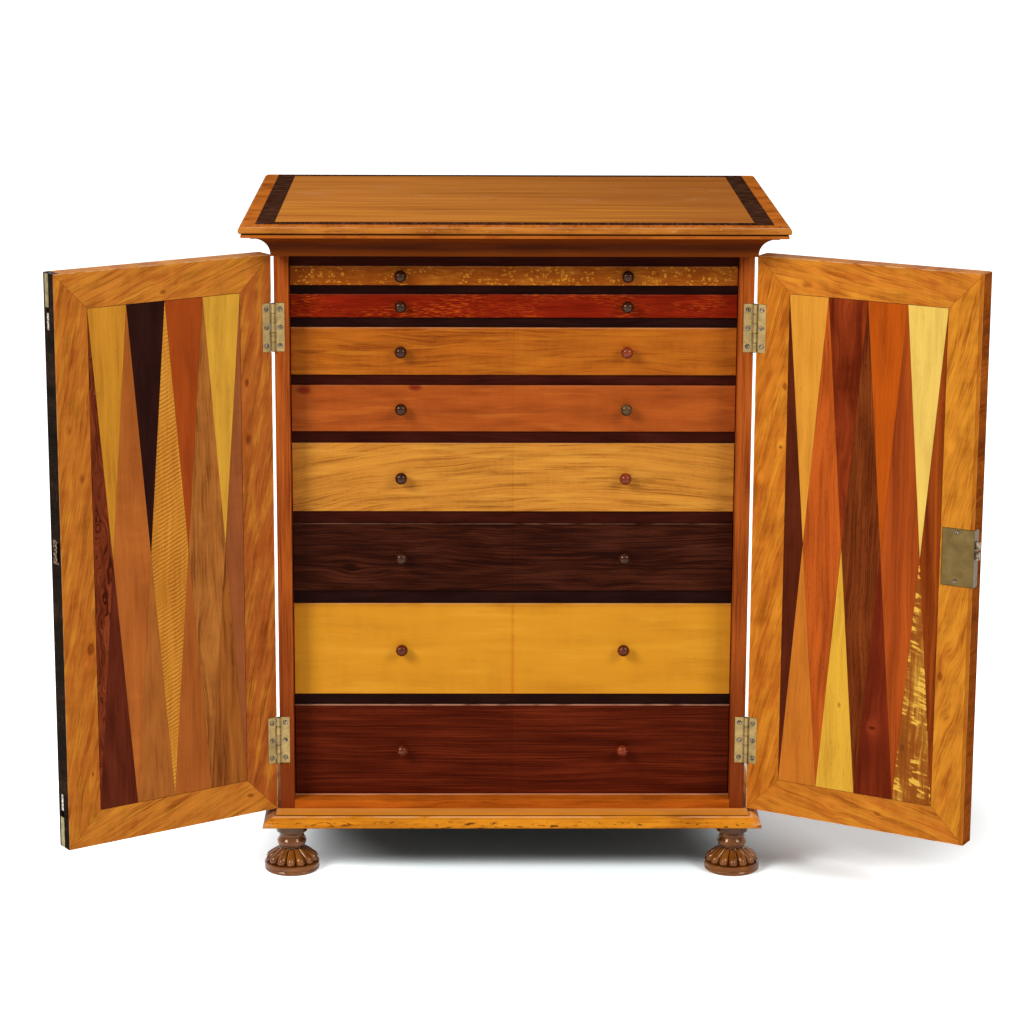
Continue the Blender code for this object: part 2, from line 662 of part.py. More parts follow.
def make_frame(name, side, parent, finish):
    """Four mitred members with a groove round their inner edges."""
    width = DOOR_FRAME_WIDTH
    middle = (PANEL_INNER_SET_BACK + DOOR_THICKNESS - PANEL_OUTER_SET_BACK) / 2
    near = middle - PANEL_TONGUE / 2 - SEAT_GAP
    far = middle + PANEL_TONGUE / 2 + SEAT_GAP
    section = ((0.0, 0.0), (width, 0.0), (width, near), (width - PANEL_GROOVE, near),
               (width - PANEL_GROOVE, far), (width, far), (width, DOOR_THICKNESS), (0.0, DOOR_THICKNESS))
    rings = [door_rectangle(side, inset, depth) for inset, depth in section]
    bm = loft(rings, closed=True)
    edge_x = door_point(side)(free_edge, 0.0, 0.0)[0]
    arris = [edge for edge in bm.edges
             if all(abs(v.co.x - edge_x) < SEAT_GAP and abs(v.co.y + outer_face) < SEAT_GAP
                    for v in edge.verts)]
    bmesh.ops.bevel(bm, geom=arris, offset=MEETING_ROUND, segments=3, profile=ROUND_PROFILE, affect="EDGES")
    frame = add_object(name, bm, parent, finish)
    cut_hinge_gains(frame, side, -1)
    return frame


def make_panel(name, side, parent, finish):
    """Panel with a tongue all round it."""
    middle = (PANEL_INNER_SET_BACK + DOOR_THICKNESS - PANEL_OUTER_SET_BACK) / 2
    near, far = middle - PANEL_TONGUE / 2, middle + PANEL_TONGUE / 2
    field = DOOR_FRAME_WIDTH + SEAT_GAP
    tongue = DOOR_FRAME_WIDTH - PANEL_GROOVE + SEAT_GAP
    rings = [door_rectangle(side, inset, depth) for inset, depth in (
        (field, PANEL_INNER_SET_BACK), (field, near), (tongue, near), (tongue, far), (field, far),
        (field, DOOR_THICKNESS - PANEL_OUTER_SET_BACK))]
    add_object(name, loft(rings), parent, finish)


def lock_shape(side, grow):
    """Plate on the inner face with its turned edge on the door's free edge, grown by a clearance."""
    place = door_point(side)
    start = free_edge - LOCK_WIDTH - grow
    end = free_edge + (CUT_OVERRUN if grow else 0.0)
    face = -CUT_OVERRUN if grow else 0.0
    plate = LOCK_PLATE + grow
    depth = LOCK_EDGE_WIDTH + grow
    outline = ((start, face), (end, face), (end, depth), (free_edge - plate, depth),
               (free_edge - plate, plate), (start, plate))
    low = lock_middle - LOCK_HEIGHT / 2 - grow
    high = lock_middle + LOCK_HEIGHT / 2 + grow
    return prism(outline, place, low, high)


def lock_case_box(side, grow):
    """Case behind the lock's plate, reaching into the plate and its edge."""
    near = (free_edge - LOCK_PLATE - LOCK_CASE_WIDTH - grow, LOCK_PLATE / 2,
            lock_middle - LOCK_CASE_HEIGHT / 2 - grow)
    far = (free_edge - LOCK_PLATE / 2, LOCK_PLATE + LOCK_CASE_DEPTH + grow,
           lock_middle + LOCK_CASE_HEIGHT / 2 + grow)
    return door_box(side, near, far)


def bolt_outline(grow, back_travel, front_extra):
    """Two link bolts on one bar, from the door's axis and the floor, grown by a clearance."""
    back = free_edge - BOLT_SHANK - grow - back_travel
    bar = free_edge - BOLT_SHANK + BOLT_BAR + grow
    front = free_edge + BOLT_PROJECTION + front_extra
    half = BOLT_HEIGHT / 2 + grow
    low, high = bolt_middle - BOLT_SPACING / 2, bolt_middle + BOLT_SPACING / 2
    return ((back, low - half), (front, low - half), (front, low + half), (bar, low + half),
            (bar, high - half), (front, high - half), (front, high + half), (back, high + half))


def across_door(side):
    """Return a function that places a distance from the axis, a height and a depth on a door."""
    place = door_point(side)
    return lambda from_axis, height, depth: place(from_axis, depth, height)


def make_lock(frame, side, parent, finish, steel):
    """Cut lock let into the door, with its link bolts and keyhole."""
    cut(frame, "lock_plate", lock_shape(side, SEAT_GAP))
    cut(frame, "lock_case", lock_case_box(side, SEAT_GAP))
    case = add_object("lock_case", lock_shape(side, 0.0), parent, finish)
    cut(case, "case", lock_case_box(side, 0.0), "UNION")
    place = across_door(side)
    front = BOLT_FROM_FACE
    room = prism(bolt_outline(SEAT_GAP, BOLT_TRAVEL, CUT_OVERRUN), place, front - SEAT_GAP,
                 front + BOLT_THICKNESS + SEAT_GAP)
    cut(case, "bolt_room", room)

    middle = Vector(place(free_edge, bolt_middle, front + BOLT_THICKNESS / 2))
    bolts = prism(bolt_outline(0.0, 0.0, 0.0), place, front, front + BOLT_THICKNESS)
    bmesh.ops.translate(bolts, verts=bolts.verts, vec=-middle)
    add_object("lock_bolts", bolts, parent, steel, middle)

    hole = bmesh.new()
    key_x = door_point(side)(free_edge - LOCK_PLATE - LOCK_CASE_WIDTH / 2, 0.0, 0.0)[0]
    add_round(hole, KEYHOLE_RADIUS, (key_x, lock_middle), -(outer_face + CUT_OVERRUN),
              -(inner_face + LOCK_PLATE + LOCK_CASE_DEPTH), BARREL_SIDES, upright=False)
    cut(frame, "keyhole", hole)
    slot = box((key_x - KEYHOLE_SLOT / 2, -(outer_face + CUT_OVERRUN), lock_middle - KEYHOLE_LENGTH),
               (key_x + KEYHOLE_SLOT / 2, -(inner_face + LOCK_PLATE + LOCK_CASE_DEPTH), lock_middle))
    cut(frame, "keyhole_slot", slot)


def flush_bolt_outline(end, inward, grow, open_edge, open_end):
    """Thumb piece and rod of a flush bolt from its end inwards, as distance from the axis and height."""
    back = free_edge - FLUSH_BOLT_DEPTH - grow
    edge = free_edge + open_edge
    rod = edge if grow else free_edge - FLUSH_BOLT_DEPTH + FLUSH_BOLT_ROD
    tip = end - inward * (open_end if grow else -SEAT_GAP)
    thumb_end = end + inward * (FLUSH_BOLT_LENGTH + grow)
    thumb_start = end + inward * (FLUSH_BOLT_LENGTH - FLUSH_BOLT_THUMB)
    return ((back, tip), (rod, tip), (rod, thumb_start), (edge, thumb_start), (edge, thumb_end),
            (back, thumb_end))


def make_flush_bolts(frame, side, parent, finish):
    """Bolts that slide in channels in the free edge of the left door."""
    place = across_door(side)
    start, end = FLUSH_BOLT_FROM_FACE, FLUSH_BOLT_FROM_FACE + FLUSH_BOLT_THICKNESS
    for name, tip, inward in (("flush_bolt_top", door_top, -1), ("flush_bolt_bottom", door_bottom, 1)):
        outline = flush_bolt_outline(tip, inward, 0.0, 0.0, 0.0)
        middle = Vector(place(free_edge - FLUSH_BOLT_DEPTH / 2, tip + inward * FLUSH_BOLT_LENGTH / 2,
                              (start + end) / 2))
        bolt = prism(outline, place, start, end)
        bmesh.ops.translate(bolt, verts=bolt.verts, vec=-middle)
        add_object(name, bolt, parent, finish, middle)
        back, edge = free_edge - FLUSH_BOLT_DEPTH - SEAT_GAP, free_edge + CUT_OVERRUN
        heights = sorted((tip - inward * CUT_OVERRUN, tip + inward * (FLUSH_BOLT_LENGTH + SEAT_GAP)))
        channel = door_box(side, (back, start - SEAT_GAP, heights[0]), (edge, end + SEAT_GAP, heights[1]))
        cut(frame, f"{name}_channel", channel)
    half = BOLT_SPACING / 2 + BOLT_HEIGHT / 2 + MORTISE_MARGIN
    mortise = door_box(side, (free_edge - MORTISE_DEPTH, BOLT_FROM_FACE - MORTISE_MARGIN,
                              bolt_middle - half),
                       (free_edge + CUT_OVERRUN, BOLT_FROM_FACE + BOLT_THICKNESS + MORTISE_MARGIN,
                        bolt_middle + half))
    cut(frame, "lock_mortise", mortise)


def make_hinges(side, word, cabinet, door, finish):
    """Both hinges of one door."""
    axis = (side * (half_width + HINGE_OUTSET), -inner_face, 0.0)
    for height, span in hinge_spans().items():
        make_leaf(f"hinge_{height}_{word}_fixed_leaf", side, 1, cabinet, axis, span, finish)
        make_leaf(f"hinge_{height}_{word}_door_leaf", side, -1, door, (0.0, 0.0, 0.0), span, finish)


# Drawers
def knob_outline():
    """Radius and distance from the drawer's face, from the end of the spigot to the dome."""
    spigot_end = -(DRAWER_FRONT - SEAT_GAP)
    foot = SEAT_GAP
    rows = [(KNOB_SPIGOT_RADIUS, spigot_end), (KNOB_SPIGOT_RADIUS, foot), (KNOB_FOOT_RADIUS, foot),
            (KNOB_NECK_RADIUS, KNOB_PROJECTION * KNOB_NECK_SHARE)]
    rows += [(KNOB_HEAD_RADIUS * radius, KNOB_PROJECTION * out) for out, radius in KNOB_DOME_SHARES]
    return rows


def make_drawer(number, height, bottom, cabinet, wood, knob_wood, knob_mesh):
    """Hollow drawer with its knobs; it is placed at the middle of its front's lower edge."""
    half, length = drawer_half, drawer_length
    inner = half - DRAWER_WALL
    front, rear = DRAWER_FRONT, length - DRAWER_WALL
    floor = DRAWER_BOTTOM_RAISE + DRAWER_BOTTOM
    rings = [slab_ring(inner, front, rear, DRAWER_BOTTOM_RAISE), slab_ring(inner, front, rear, 0.0),
             slab_ring(half, 0.0, length, 0.0), slab_ring(half, 0.0, length, height),
             slab_ring(inner, front, rear, height), slab_ring(inner, front, rear, floor)]
    bm = loft(rings)
    face_edges = [edge for edge in bm.edges if all(abs(v.co.y) < SEAT_GAP for v in edge.verts)]
    bmesh.ops.bevel(bm, geom=face_edges, offset=DRAWER_ARRIS, segments=1, profile=ROUND_PROFILE,
                    affect="EDGES")
    drawer = add_object(f"drawer_{number}", bm, cabinet, wood, (0.0, DRAWER_SET_BACK, bottom))

    holes = bmesh.new()
    for side, word in ((LEFT, "left"), (RIGHT, "right")):
        knob_x = side * half * KNOB_PLACE_SHARE
        add_round(holes, KNOB_SPIGOT_RADIUS + SEAT_GAP, (knob_x, height / 2), -CUT_OVERRUN,
                  DRAWER_FRONT + CUT_OVERRUN, KNOB_SIDES, upright=False)
        name = f"drawer_{number}_knob_{word}"
        place = (knob_x, 0.0, height / 2)
        if knob_mesh is None:
            knob = add_object(name, turned(knob_outline(), KNOB_SIDES), drawer, knob_wood, place)
            smooth(knob)
            knob_mesh = knob.data
        else:
            knob = add_copy(name, knob_mesh, drawer, knob_wood, place)
        knob.rotation_euler = (math.pi / 2, 0.0, 0.0)
    cut(drawer, "knob_holes", holes)
    return knob_mesh


def stand_on_origin(root):
    """Move the whole so that the middle of its footprint at rest is the world's origin."""
    bpy.context.view_layer.update()
    depsgraph = bpy.context.evaluated_depsgraph_get()
    places = []
    for made in bpy.data.objects:
        if made.type == "MESH" and not made.hide_render:
            seen = made.evaluated_get(depsgraph)
            places += [made.matrix_world @ vertex.co for vertex in seen.data.vertices]
    middle_x = (min(p.x for p in places) + max(p.x for p in places)) / 2
    middle_y = (min(p.y for p in places) + max(p.y for p in places)) / 2
    root.location = (-middle_x, -middle_y, 0.0)


def main():
    for old in list(bpy.data.objects):
        bpy.data.objects.remove(old, do_unlink=True)

    mahogany = material("carcass_mahogany", (0.33, 0.12, 0.03), 0.35)
    dark_rail = material("dark_rail_wood", (0.045, 0.012, 0.005), 0.4)
    gold_wood = material("moulding_satinwood", (0.62, 0.27, 0.045), 0.3)
    top_wood = material("top_veneer", (0.55, 0.24, 0.05), 0.25)
    cornice_wood = material("cornice_wood", (0.16, 0.05, 0.012), 0.35)
    foot_wood = material("turned_foot_wood", (0.20, 0.085, 0.025), 0.25)
    frame_wood = material("door_frame_veneer", (0.55, 0.25, 0.06), 0.35)
    panel_wood = material("door_parquetry", (0.42, 0.17, 0.04), 0.35)
    back_wood = material("back_board_wood", (0.30, 0.16, 0.07), 0.6)
    knob_wood = material("knob_rosewood", (0.05, 0.014, 0.007), 0.15)
    brass = material("aged_brass", (0.42, 0.33, 0.14), 0.4, 1.0)
    steel = material("bolt_steel", (0.55, 0.53, 0.50), 0.35, 1.0)
    drawer_colours = ((0.35, 0.16, 0.05), (0.33, 0.07, 0.02), (0.62, 0.28, 0.06), (0.45, 0.15, 0.04),
                      (0.66, 0.36, 0.08), (0.09, 0.03, 0.015), (0.75, 0.38, 0.06), (0.12, 0.03, 0.01))

    cabinet = place_empty("cabinet", (0.0, 0.0, 0.0), None)
    make_side("side_left", LEFT, cabinet, mahogany)
    make_side("side_right", RIGHT, cabinet, mahogany)
    make_bottom(cabinet, mahogany)
    make_shelf("carcass_top", plain_shelf_outline(top_shelf_bottom, CARCASS_TOP_THICKNESS), cabinet,
               dark_rail)
    for number, (bottom, thickness) in enumerate(zip(divider_bottoms, DIVIDER_THICKNESSES), start=1):
        make_shelf(f"divider_{number}", shelf_outline(bottom, thickness), cabinet, dark_rail)
    make_top_rail(cabinet, dark_rail)
    make_back(cabinet, back_wood)
    make_base(cabinet, gold_wood)
    make_cornice(cabinet, cornice_wood)
    make_slab("top_board", top_outline(), TOP_FRONT, CARCASS_DEPTH + TOP_BACK, cabinet, top_wood)
    make_feet(cabinet, foot_wood)

    knob_mesh = None
    for number, (height, bottom, colour) in enumerate(
            zip(DRAWER_HEIGHTS, drawer_bottoms, drawer_colours), start=1):
        wood = material(f"drawer_{number}_wood", colour, 0.3)
        knob_mesh = make_drawer(number, height, bottom, cabinet, wood, knob_wood, knob_mesh)

    for side, word, opened in ((LEFT, "left", LEFT_DOOR_OPEN), (RIGHT, "right", RIGHT_DOOR_OPEN)):
        axis = (side * (half_width + HINGE_OUTSET), -inner_face, 0.0)
        door = place_empty(f"{word}_door_axis", axis, cabinet, side * math.radians(opened))
        frame = make_frame(f"door_{word}_frame", side, door, frame_wood)
        make_panel(f"door_{word}_panel", side, door, panel_wood)
        make_hinges(side, word, cabinet, door, brass)
        if side == RIGHT:
            make_lock(frame, side, door, brass, steel)
        else:
            make_flush_bolts(frame, side, door, brass)
    stand_on_origin(cabinet)


main()
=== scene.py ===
"""Looks of the collectors cabinet: its woods, brass and polish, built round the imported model.

Everything is in metres, in the frame's own coordinates. Lengths of patterns are in millimetres
where a name ends in _mm. Colours are written as a screen shows them, from 0 to 255.
"""

import json
import math
from types import SimpleNamespace

import bmesh
import bpy
from mathutils import Matrix, Vector


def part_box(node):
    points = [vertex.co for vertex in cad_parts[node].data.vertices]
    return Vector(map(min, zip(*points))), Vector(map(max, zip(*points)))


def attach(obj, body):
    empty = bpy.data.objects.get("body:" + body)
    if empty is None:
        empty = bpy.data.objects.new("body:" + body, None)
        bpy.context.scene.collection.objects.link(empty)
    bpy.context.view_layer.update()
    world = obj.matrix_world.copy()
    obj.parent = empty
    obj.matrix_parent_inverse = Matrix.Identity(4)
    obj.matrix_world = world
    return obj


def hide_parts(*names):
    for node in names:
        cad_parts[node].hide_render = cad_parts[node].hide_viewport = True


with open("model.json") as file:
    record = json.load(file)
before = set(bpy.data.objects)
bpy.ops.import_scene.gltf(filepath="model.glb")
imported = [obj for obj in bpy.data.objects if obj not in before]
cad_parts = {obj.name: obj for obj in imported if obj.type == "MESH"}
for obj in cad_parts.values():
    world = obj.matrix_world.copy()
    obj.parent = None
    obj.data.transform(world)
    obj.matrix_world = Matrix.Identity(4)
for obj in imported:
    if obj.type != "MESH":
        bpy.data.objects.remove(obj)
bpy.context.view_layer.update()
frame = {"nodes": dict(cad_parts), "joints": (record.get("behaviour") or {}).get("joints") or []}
MM = 0.001
TINY = 0.00001

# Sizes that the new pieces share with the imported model
TOP_FRONT = 0.0145
TOP_PROJECTION = 0.0325
THUMB_DROP = 0.0045
THUMB_RUN = 0.005
THUMB_HEIGHT = 0.0075
THUMB_TUCK = 0.0015
TOP_QUIRK_HEIGHT = 0.0015
TOP_QUIRK_DEPTH = 0.004
TOP_FILLET_INSET = 0.0025
CORNICE_FRONT = 0.0155
CORNICE_LOWER = 0.002
CORNICE_UPPER = 0.021
CORNICE_FILLET = 0.0015
BASE_FRONT = 0.0135
BASE_LEDGE = 0.004
BASE_PROJECTION = 0.0175
BASE_FILLET = 0.0017
BASE_QUIRK = 0.0008
MOULD_STEPS = 16
SEAT_GAP = 0.0003
CUT_OVERRUN = 0.004
SHARP_ANGLE = math.radians(35)
CUT_LINE = 0.0002
MITRE_LINE = 0.00002
HAIR = 0.0001
SIDES = ("left", "right")
WHITE = (255, 255, 255)

FOOT_DISC_RADIUS = 0.029
FOOT_DISC_HEIGHT = 0.0094
FOOT_LOBE_RADIUS = 0.0277
FOOT_LOBE_HEIGHT = 0.016
FOOT_LOBE_DEPTH = 0.20
FOOT_NECK_RADIUS = 0.0122
FOOT_BEAD_RADIUS = 0.0154
FOOT_BEAD_LOW = 0.0266
FOOT_BEAD_HEIGHT = 0.0075
FOOT_COLLAR_RADIUS = 0.0164
FOOT_COLLAR_LOW = 0.0425
FOOT_HEIGHT = 0.053
NECK_ROWS = 7
FOOT_LOBES = 14
COLUMNS_PER_LOBE = 12
LOBE_ROUNDNESS = 0.55

KNOB_HEAD_RADIUS = 0.0063
KNOB_NECK_RADIUS = 0.0034
KNOB_FOOT_RADIUS = 0.0045
KNOB_PROJECTION = 0.0123
KNOB_SIDES = 32
KNOB_RIM = 0.0066
KNOB_DOME_ROWS = 15

DRAWER_COUNT = 8
DRAWER_FRONT = 0.014
BACK_BOARDS = 3
DOOR_FRAME_WIDTH = 0.0363
DOOR_HALF_GAP = 0.0007
HINGE_OUTSET = 0.0013
DOOR_FREE_EDGE = 0.2458
PANEL_RECESS = 0.0005
PLATE_MARGIN = 0.00015
PLATE_THICKNESS = 0.00042
PLATE_JOINT = 0.00006
PLATE_CHAMFER = 0.00005
PLATE_LIFT = 0.00003
COLUMNS = 4

# Places of the carcass, read from the model
side_low, side_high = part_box("side_left")
front_edge, carcass_back = side_low.y, side_high.y
bottom_low, bottom_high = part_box("carcass_bottom")
middle_x = (bottom_low.x + bottom_high.x) / 2
half_width = middle_x - side_low.x
drawer_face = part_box("drawer_8")[0].y

# How the surfaces take the light
WAX = 0.36
PORE_DULLNESS = 0.15
LINES_FELT_MM = 0.05
RELIEF_STRENGTH = 0.3
WARM_GLOSS = (1.0, 0.80, 0.62, 1.0)


def paint(red, green, blue):
    """Colour as a screen shows it, from 0 to 255, as the light values that a shader takes."""
    shares = [value / 255 for value in (red, green, blue)]
    return tuple(share / 12.92 if share <= 0.04045 else ((share + 0.055) / 1.055) ** 2.4
                 for share in shares) + (1.0,)


def sum_node(operation, swapped=False):
    """Operator that adds one maths node."""
    def write(self, other):
        first, second = (other, self) if swapped else (self, other)
        return self.finish.maths(operation, first, second)
    return write


class Amount:
    """A number, colour or place that changes over a surface, for patterns written as plain sums."""

    def __init__(self, finish, socket):
        self.finish = finish
        self.socket = socket

    __add__ = sum_node("ADD")
    __radd__ = sum_node("ADD", True)
    __sub__ = sum_node("SUBTRACT")
    __rsub__ = sum_node("SUBTRACT", True)
    __mul__ = sum_node("MULTIPLY")
    __rmul__ = sum_node("MULTIPLY", True)
    __truediv__ = sum_node("DIVIDE")

    def __abs__(self):
        return self.finish.maths("ABSOLUTE", self)

    def rise(self, low, high):
        """Rise smoothly from 0 at low to 1 at high."""
        return self.finish.node("ShaderNodeMapRange", {"interpolation_type": "SMOOTHSTEP"},
                                {"Value": self, "From Min": low, "From Max": high})

    def fall(self, low, high):
        """Fall smoothly from 1 at low to 0 at high."""
        return 1 - self.rise(low, high)

    def band(self, low, high, soft):
        """1 between two limits, 0 outside them, with a soft edge."""
        return self.rise(low - soft, low + soft) * self.fall(high - soft, high + soft)

    def stain(self, share, red, green, blue):
        """This colour with a share of another one in it."""
        return self.finish.mix(share, self, paint(red, green, blue))

    def ramp(self, places, colours):
        """Colour that runs through several others, each at its place."""
        stops = list(zip(places, colours))
        return self.finish.node("ShaderNodeValToRGB", {"stops": stops}, {0: self})

    def tint(self, colour, dark, pale):
        """Colour of a wood at this shade: redder in its lines, yellower in its pale parts, or as given."""
        red, green, blue, _ = paint(*colour)
        given = isinstance(pale, tuple)
        tones = [(red * share, green * share ** 1.3, blue * share ** 1.5, 1.0)
                 for share in (dark, 1.0, 1.0 if given else pale)]
        return self.ramp(WOOD_STOPS, [*tones[:2], paint(*pale)] if given else tones)

    def metal(self, places, colour, dark, bright):
        """Colour of a metal at this shade."""
        return self.ramp(places, [paint(*(min(255, share * part) for part in colour))
                                  for share in (dark, 1.0, bright)])


def smaller(first, second):
    return first.finish.maths("MINIMUM", first, second)


def larger(first, second):
    return first.finish.maths("MAXIMUM", first, second)


class Finish:
    """One material and the pattern that is painted into it."""

    def __init__(self, name):
        self.material = bpy.data.materials.new(name)
        self.material.use_nodes = True
        self.tree = self.material.node_tree
        self.shader = self.tree.nodes["Principled BSDF"]

    def node(self, kind, settings, sockets, output=0):
        """Add a node, set it, fill its sockets and return one of its outputs."""
        made = self.tree.nodes.new(kind)
        for name, value in settings.items():
            if name == "stops":
                self.set_stops(made.color_ramp.elements, value)
            else:
                setattr(made, name, value)
        for place, value in sockets.items():
            if isinstance(value, Amount):
                self.tree.links.new(value.socket, made.inputs[place])
            else:
                made.inputs[place].default_value = value
        return Amount(self, made.outputs[output])

    @staticmethod
    def set_stops(elements, stops):
        while len(elements) < len(stops):
            elements.new(1.0)
        for element, (position, colour) in zip(elements, stops):
            element.position = position
            element.color = colour

    def maths(self, operation, first, second=0.0):
        return self.node("ShaderNodeMath", {"operation": operation}, {0: first, 1: second})

    def between(self, factor, first, second):
        """Number between two others."""
        return self.node("ShaderNodeMix", {"data_type": "FLOAT"}, {0: factor, 2: first, 3: second})

    def mix(self, factor, first, second, blend="MIX"):
        """Colour between two others."""
        return self.node("ShaderNodeMix", {"data_type": "RGBA", "blend_type": blend},
                         {0: factor, 6: first, 7: second}, 2)

    def texture(self, kind, place, **sockets):
        """Texture at a place given as three numbers."""
        vector = self.node("ShaderNodeCombineXYZ", {}, dict(enumerate(place)))
        return self.node(kind, {}, {"Vector": vector, "Scale": 1.0, **sockets})

    def noise(self, place, detail=2.0, roughness=0.5):
        """Cloudy pattern round 0.5."""
        return self.texture("ShaderNodeTexNoise", place, Detail=detail, Roughness=roughness)

    def place(self, matrix=None):
        """The three coordinates of the object, in the frame or in another one given by its matrix."""
        point = self.node("ShaderNodeTexCoord", {}, {}, "Object")
        if matrix is not None:
            inverse = matrix.inverted()
            flip = -1.0 if inverse.determinant() < 0 else 1.0
            turn = (inverse.to_3x3() @ Matrix.Diagonal((1.0, flip, 1.0))).to_euler()
            point = self.node("ShaderNodeMapping", {}, {"Vector": point, "Location": inverse.translation,
                                                        "Rotation": turn, "Scale": (1.0, flip, 1.0)})
        return [self.node("ShaderNodeSeparateXYZ", {}, {0: point}, axis) for axis in range(3)]

    def surface(self, colour, roughness, height, relief_mm, **constants):
        """Give the shader its colour, roughness, relief and constant settings."""
        relief = self.node("ShaderNodeBump", {}, {"Height": height, "Distance": relief_mm * MM,
                                                  "Strength": RELIEF_STRENGTH})
        for name, value in (("Base Color", colour), ("Roughness", roughness), ("Normal", relief)):
            self.tree.links.new(value.socket, self.shader.inputs[name])
        for name, value in constants.items():
            self.shader.inputs[name.replace("_", " ")].default_value = value
        return self.material

    def waxed(self, colour, shade, pores, gloss, roughness=WAX):
        """Waxed wood, duller in its pores, its lines just felt."""
        return self.surface(colour, roughness + pores * PORE_DULLNESS, shade, LINES_FELT_MM,
                            Specular_IOR_Level=gloss)


# How each wood looks: widths and reaches in millimetres, the rest as strengths
PLAIN = dict(line_mm=4.0, stretch=26.0, flow_mm=8.0, reach_mm=120.0, lines=0.45, broad=0.4, fibre=0.35,
             pores=0.15, pore_mm=(9.0, 0.9), veins=0.0, vein_mm=6.0, curl=0.0, curl_mm=5.0, curl_slant=0.0,
             shimmer=0.0, stripes=0.0, flecks=0.0, sweep=(0.0, 0.0), knots=(), seed=0.0)
WOOD_STOPS = (0.12, 0.5, 0.88)
FIBRE_WIDTH = 0.0009
KNOT_LENGTH = 3.0
KNOT_PUSH = 0.8
KNOT_HALO = 0.22
FLECK_LENGTH = 0.0052
FLECK_WIDTH = 0.0034
FLECK_GRIT = 0.0022


def part_round_knots(finish, along, across, knots):
    """Lines parted round each knot, and the knots' hearts, dark or pale, with a pale ring round them."""
    hearts = 0.0
    for knot_along, knot_across, size, dark in knots:
        off_along = along - knot_along
        off_across = across - knot_across
        spread = (off_along * off_along / KNOT_LENGTH + off_across * off_across) / (size * size)
        near = finish.maths("POWER", 2.718, spread * -1.0)
        across = across - off_across * near * KNOT_PUSH
        heart = finish.maths("POWER", near, 6.0)
        hearts = heart * (dark + KNOT_HALO) + hearts - near * near * KNOT_HALO
    return across, hearts


def grain(finish, along, across, through, **changes):
    """Shade of a wood, from 0 in its darkest lines to 1 in its palest, and its open pores."""
    wood = SimpleNamespace(**{**PLAIN, **changes})
    seed = wood.seed
    line = wood.line_mm * MM
    reach = wood.reach_mm * MM
    level, hearts = part_round_knots(finish, along, across, wood.knots)
    wander = finish.noise((along / reach, across / (reach * 0.35), seed + 1.7))
    level = level + (wander - 0.5) * (wood.flow_mm * MM * 2)
    if any(wood.sweep):
        rise, turn = wood.sweep
        level = level - along * rise - along * along * turn
    cloud = through / line
    lines = finish.noise((along / (line * wood.stretch), level / line, cloud + seed), 3.0, 0.65)
    fibres = finish.noise((along / (FIBRE_WIDTH * wood.stretch), level / FIBRE_WIDTH, cloud + seed + 5.3),
                          2.0, 0.6)
    broad = finish.noise((along / (line * wood.stretch * 0.8), level / (line * 5), seed + 9.1), 1.0)
    shade = (lines - 0.5) * (wood.lines * 2) + (fibres - 0.5) * wood.fibre
    shade = shade + (broad - 0.5) * wood.broad * 2 + 0.5
    if wood.veins:
        width = wood.vein_mm * MM
        vein = finish.noise((along / (width * 60), level / width, seed + 8.8), 2.0, 0.6)
        some = finish.noise((along / (width * 16), level / (width * 1.5), seed + 4.7), 1.0)
        shade = shade - abs(vein - 0.5).fall(0.0, 0.045) * some.rise(0.25, 0.7) * wood.veins
    width = wood.curl_mm * MM
    if wood.curl or wood.shimmer:
        slanted = along + across * wood.curl_slant
        curl = finish.noise((slanted / width, level / (width * 5), seed + 3.9), 2.0, 0.55)
        shade = shade + (curl - 0.5) * (wood.curl * 2)
        if wood.shimmer:
            patch = finish.noise((along / (width * 12), across / (width * 4), seed + 2.9), 1.0)
            shade = shade + curl.rise(0.48, 0.66) * patch.rise(0.42, 0.6) * wood.shimmer
    if wood.stripes:
        slanted = (along + across * wood.curl_slant) / (width / math.tau)
        wobble = finish.noise((along / (width * 6), level / (width * 3), seed + 2.2))
        wave = finish.maths("SINE", slanted + (wobble - 0.5) * 6)
        shade = shade + wave * wood.stripes * wobble.rise(0.25, 0.6)
    if wood.flecks:
        place = (along / FLECK_LENGTH, level / FLECK_WIDTH, seed)
        cell = finish.texture("ShaderNodeTexVoronoi", place)
        broken = finish.noise((along / FLECK_GRIT, level / FLECK_GRIT, seed + 7.1), 1.0)
        patch = finish.noise((along / 0.038, level / 0.016, seed + 6.6), 1.0)
        fleck = cell.band(0.17, 0.34, 0.03) * broken.rise(0.40, 0.50)
        shade = shade + fleck * patch.rise(0.32, 0.52) * wood.flecks
    pore_long, pore_wide = wood.pore_mm
    pores = finish.noise((along / (pore_long * MM), level / (pore_wide * MM), cloud + seed + 7.7), 1.0)
    pores = pores.rise(0.58, 0.72)
    return shade - pores * wood.pores - hearts, pores


# Shared ways of working the pieces
def begin(name):
    """Name the primitive that was just added and open it for editing."""
    piece = bpy.context.object
    piece.name = name
    bpy.ops.object.transform_apply(location=True, rotation=True, scale=True)
    bpy.ops.object.mode_set(mode="EDIT")
    return piece


def started(name, add, place, size, **settings):
    """Primitive added at a place, opened for editing and drawn out to its size."""
    nothing_selected()
    add(size=1.0, location=place, **settings)
    piece = begin(name)
    bpy.ops.transform.resize(value=size, center_override=place)
    return piece


def raised(height):
    """Draw the selected faces or edges up, with new sides."""
    bpy.ops.mesh.extrude_region_move(TRANSFORM_OT_translate={"value": (0.0, 0.0, height)})


def nothing_selected():
    bpy.ops.object.select_all(action="DESELECT")


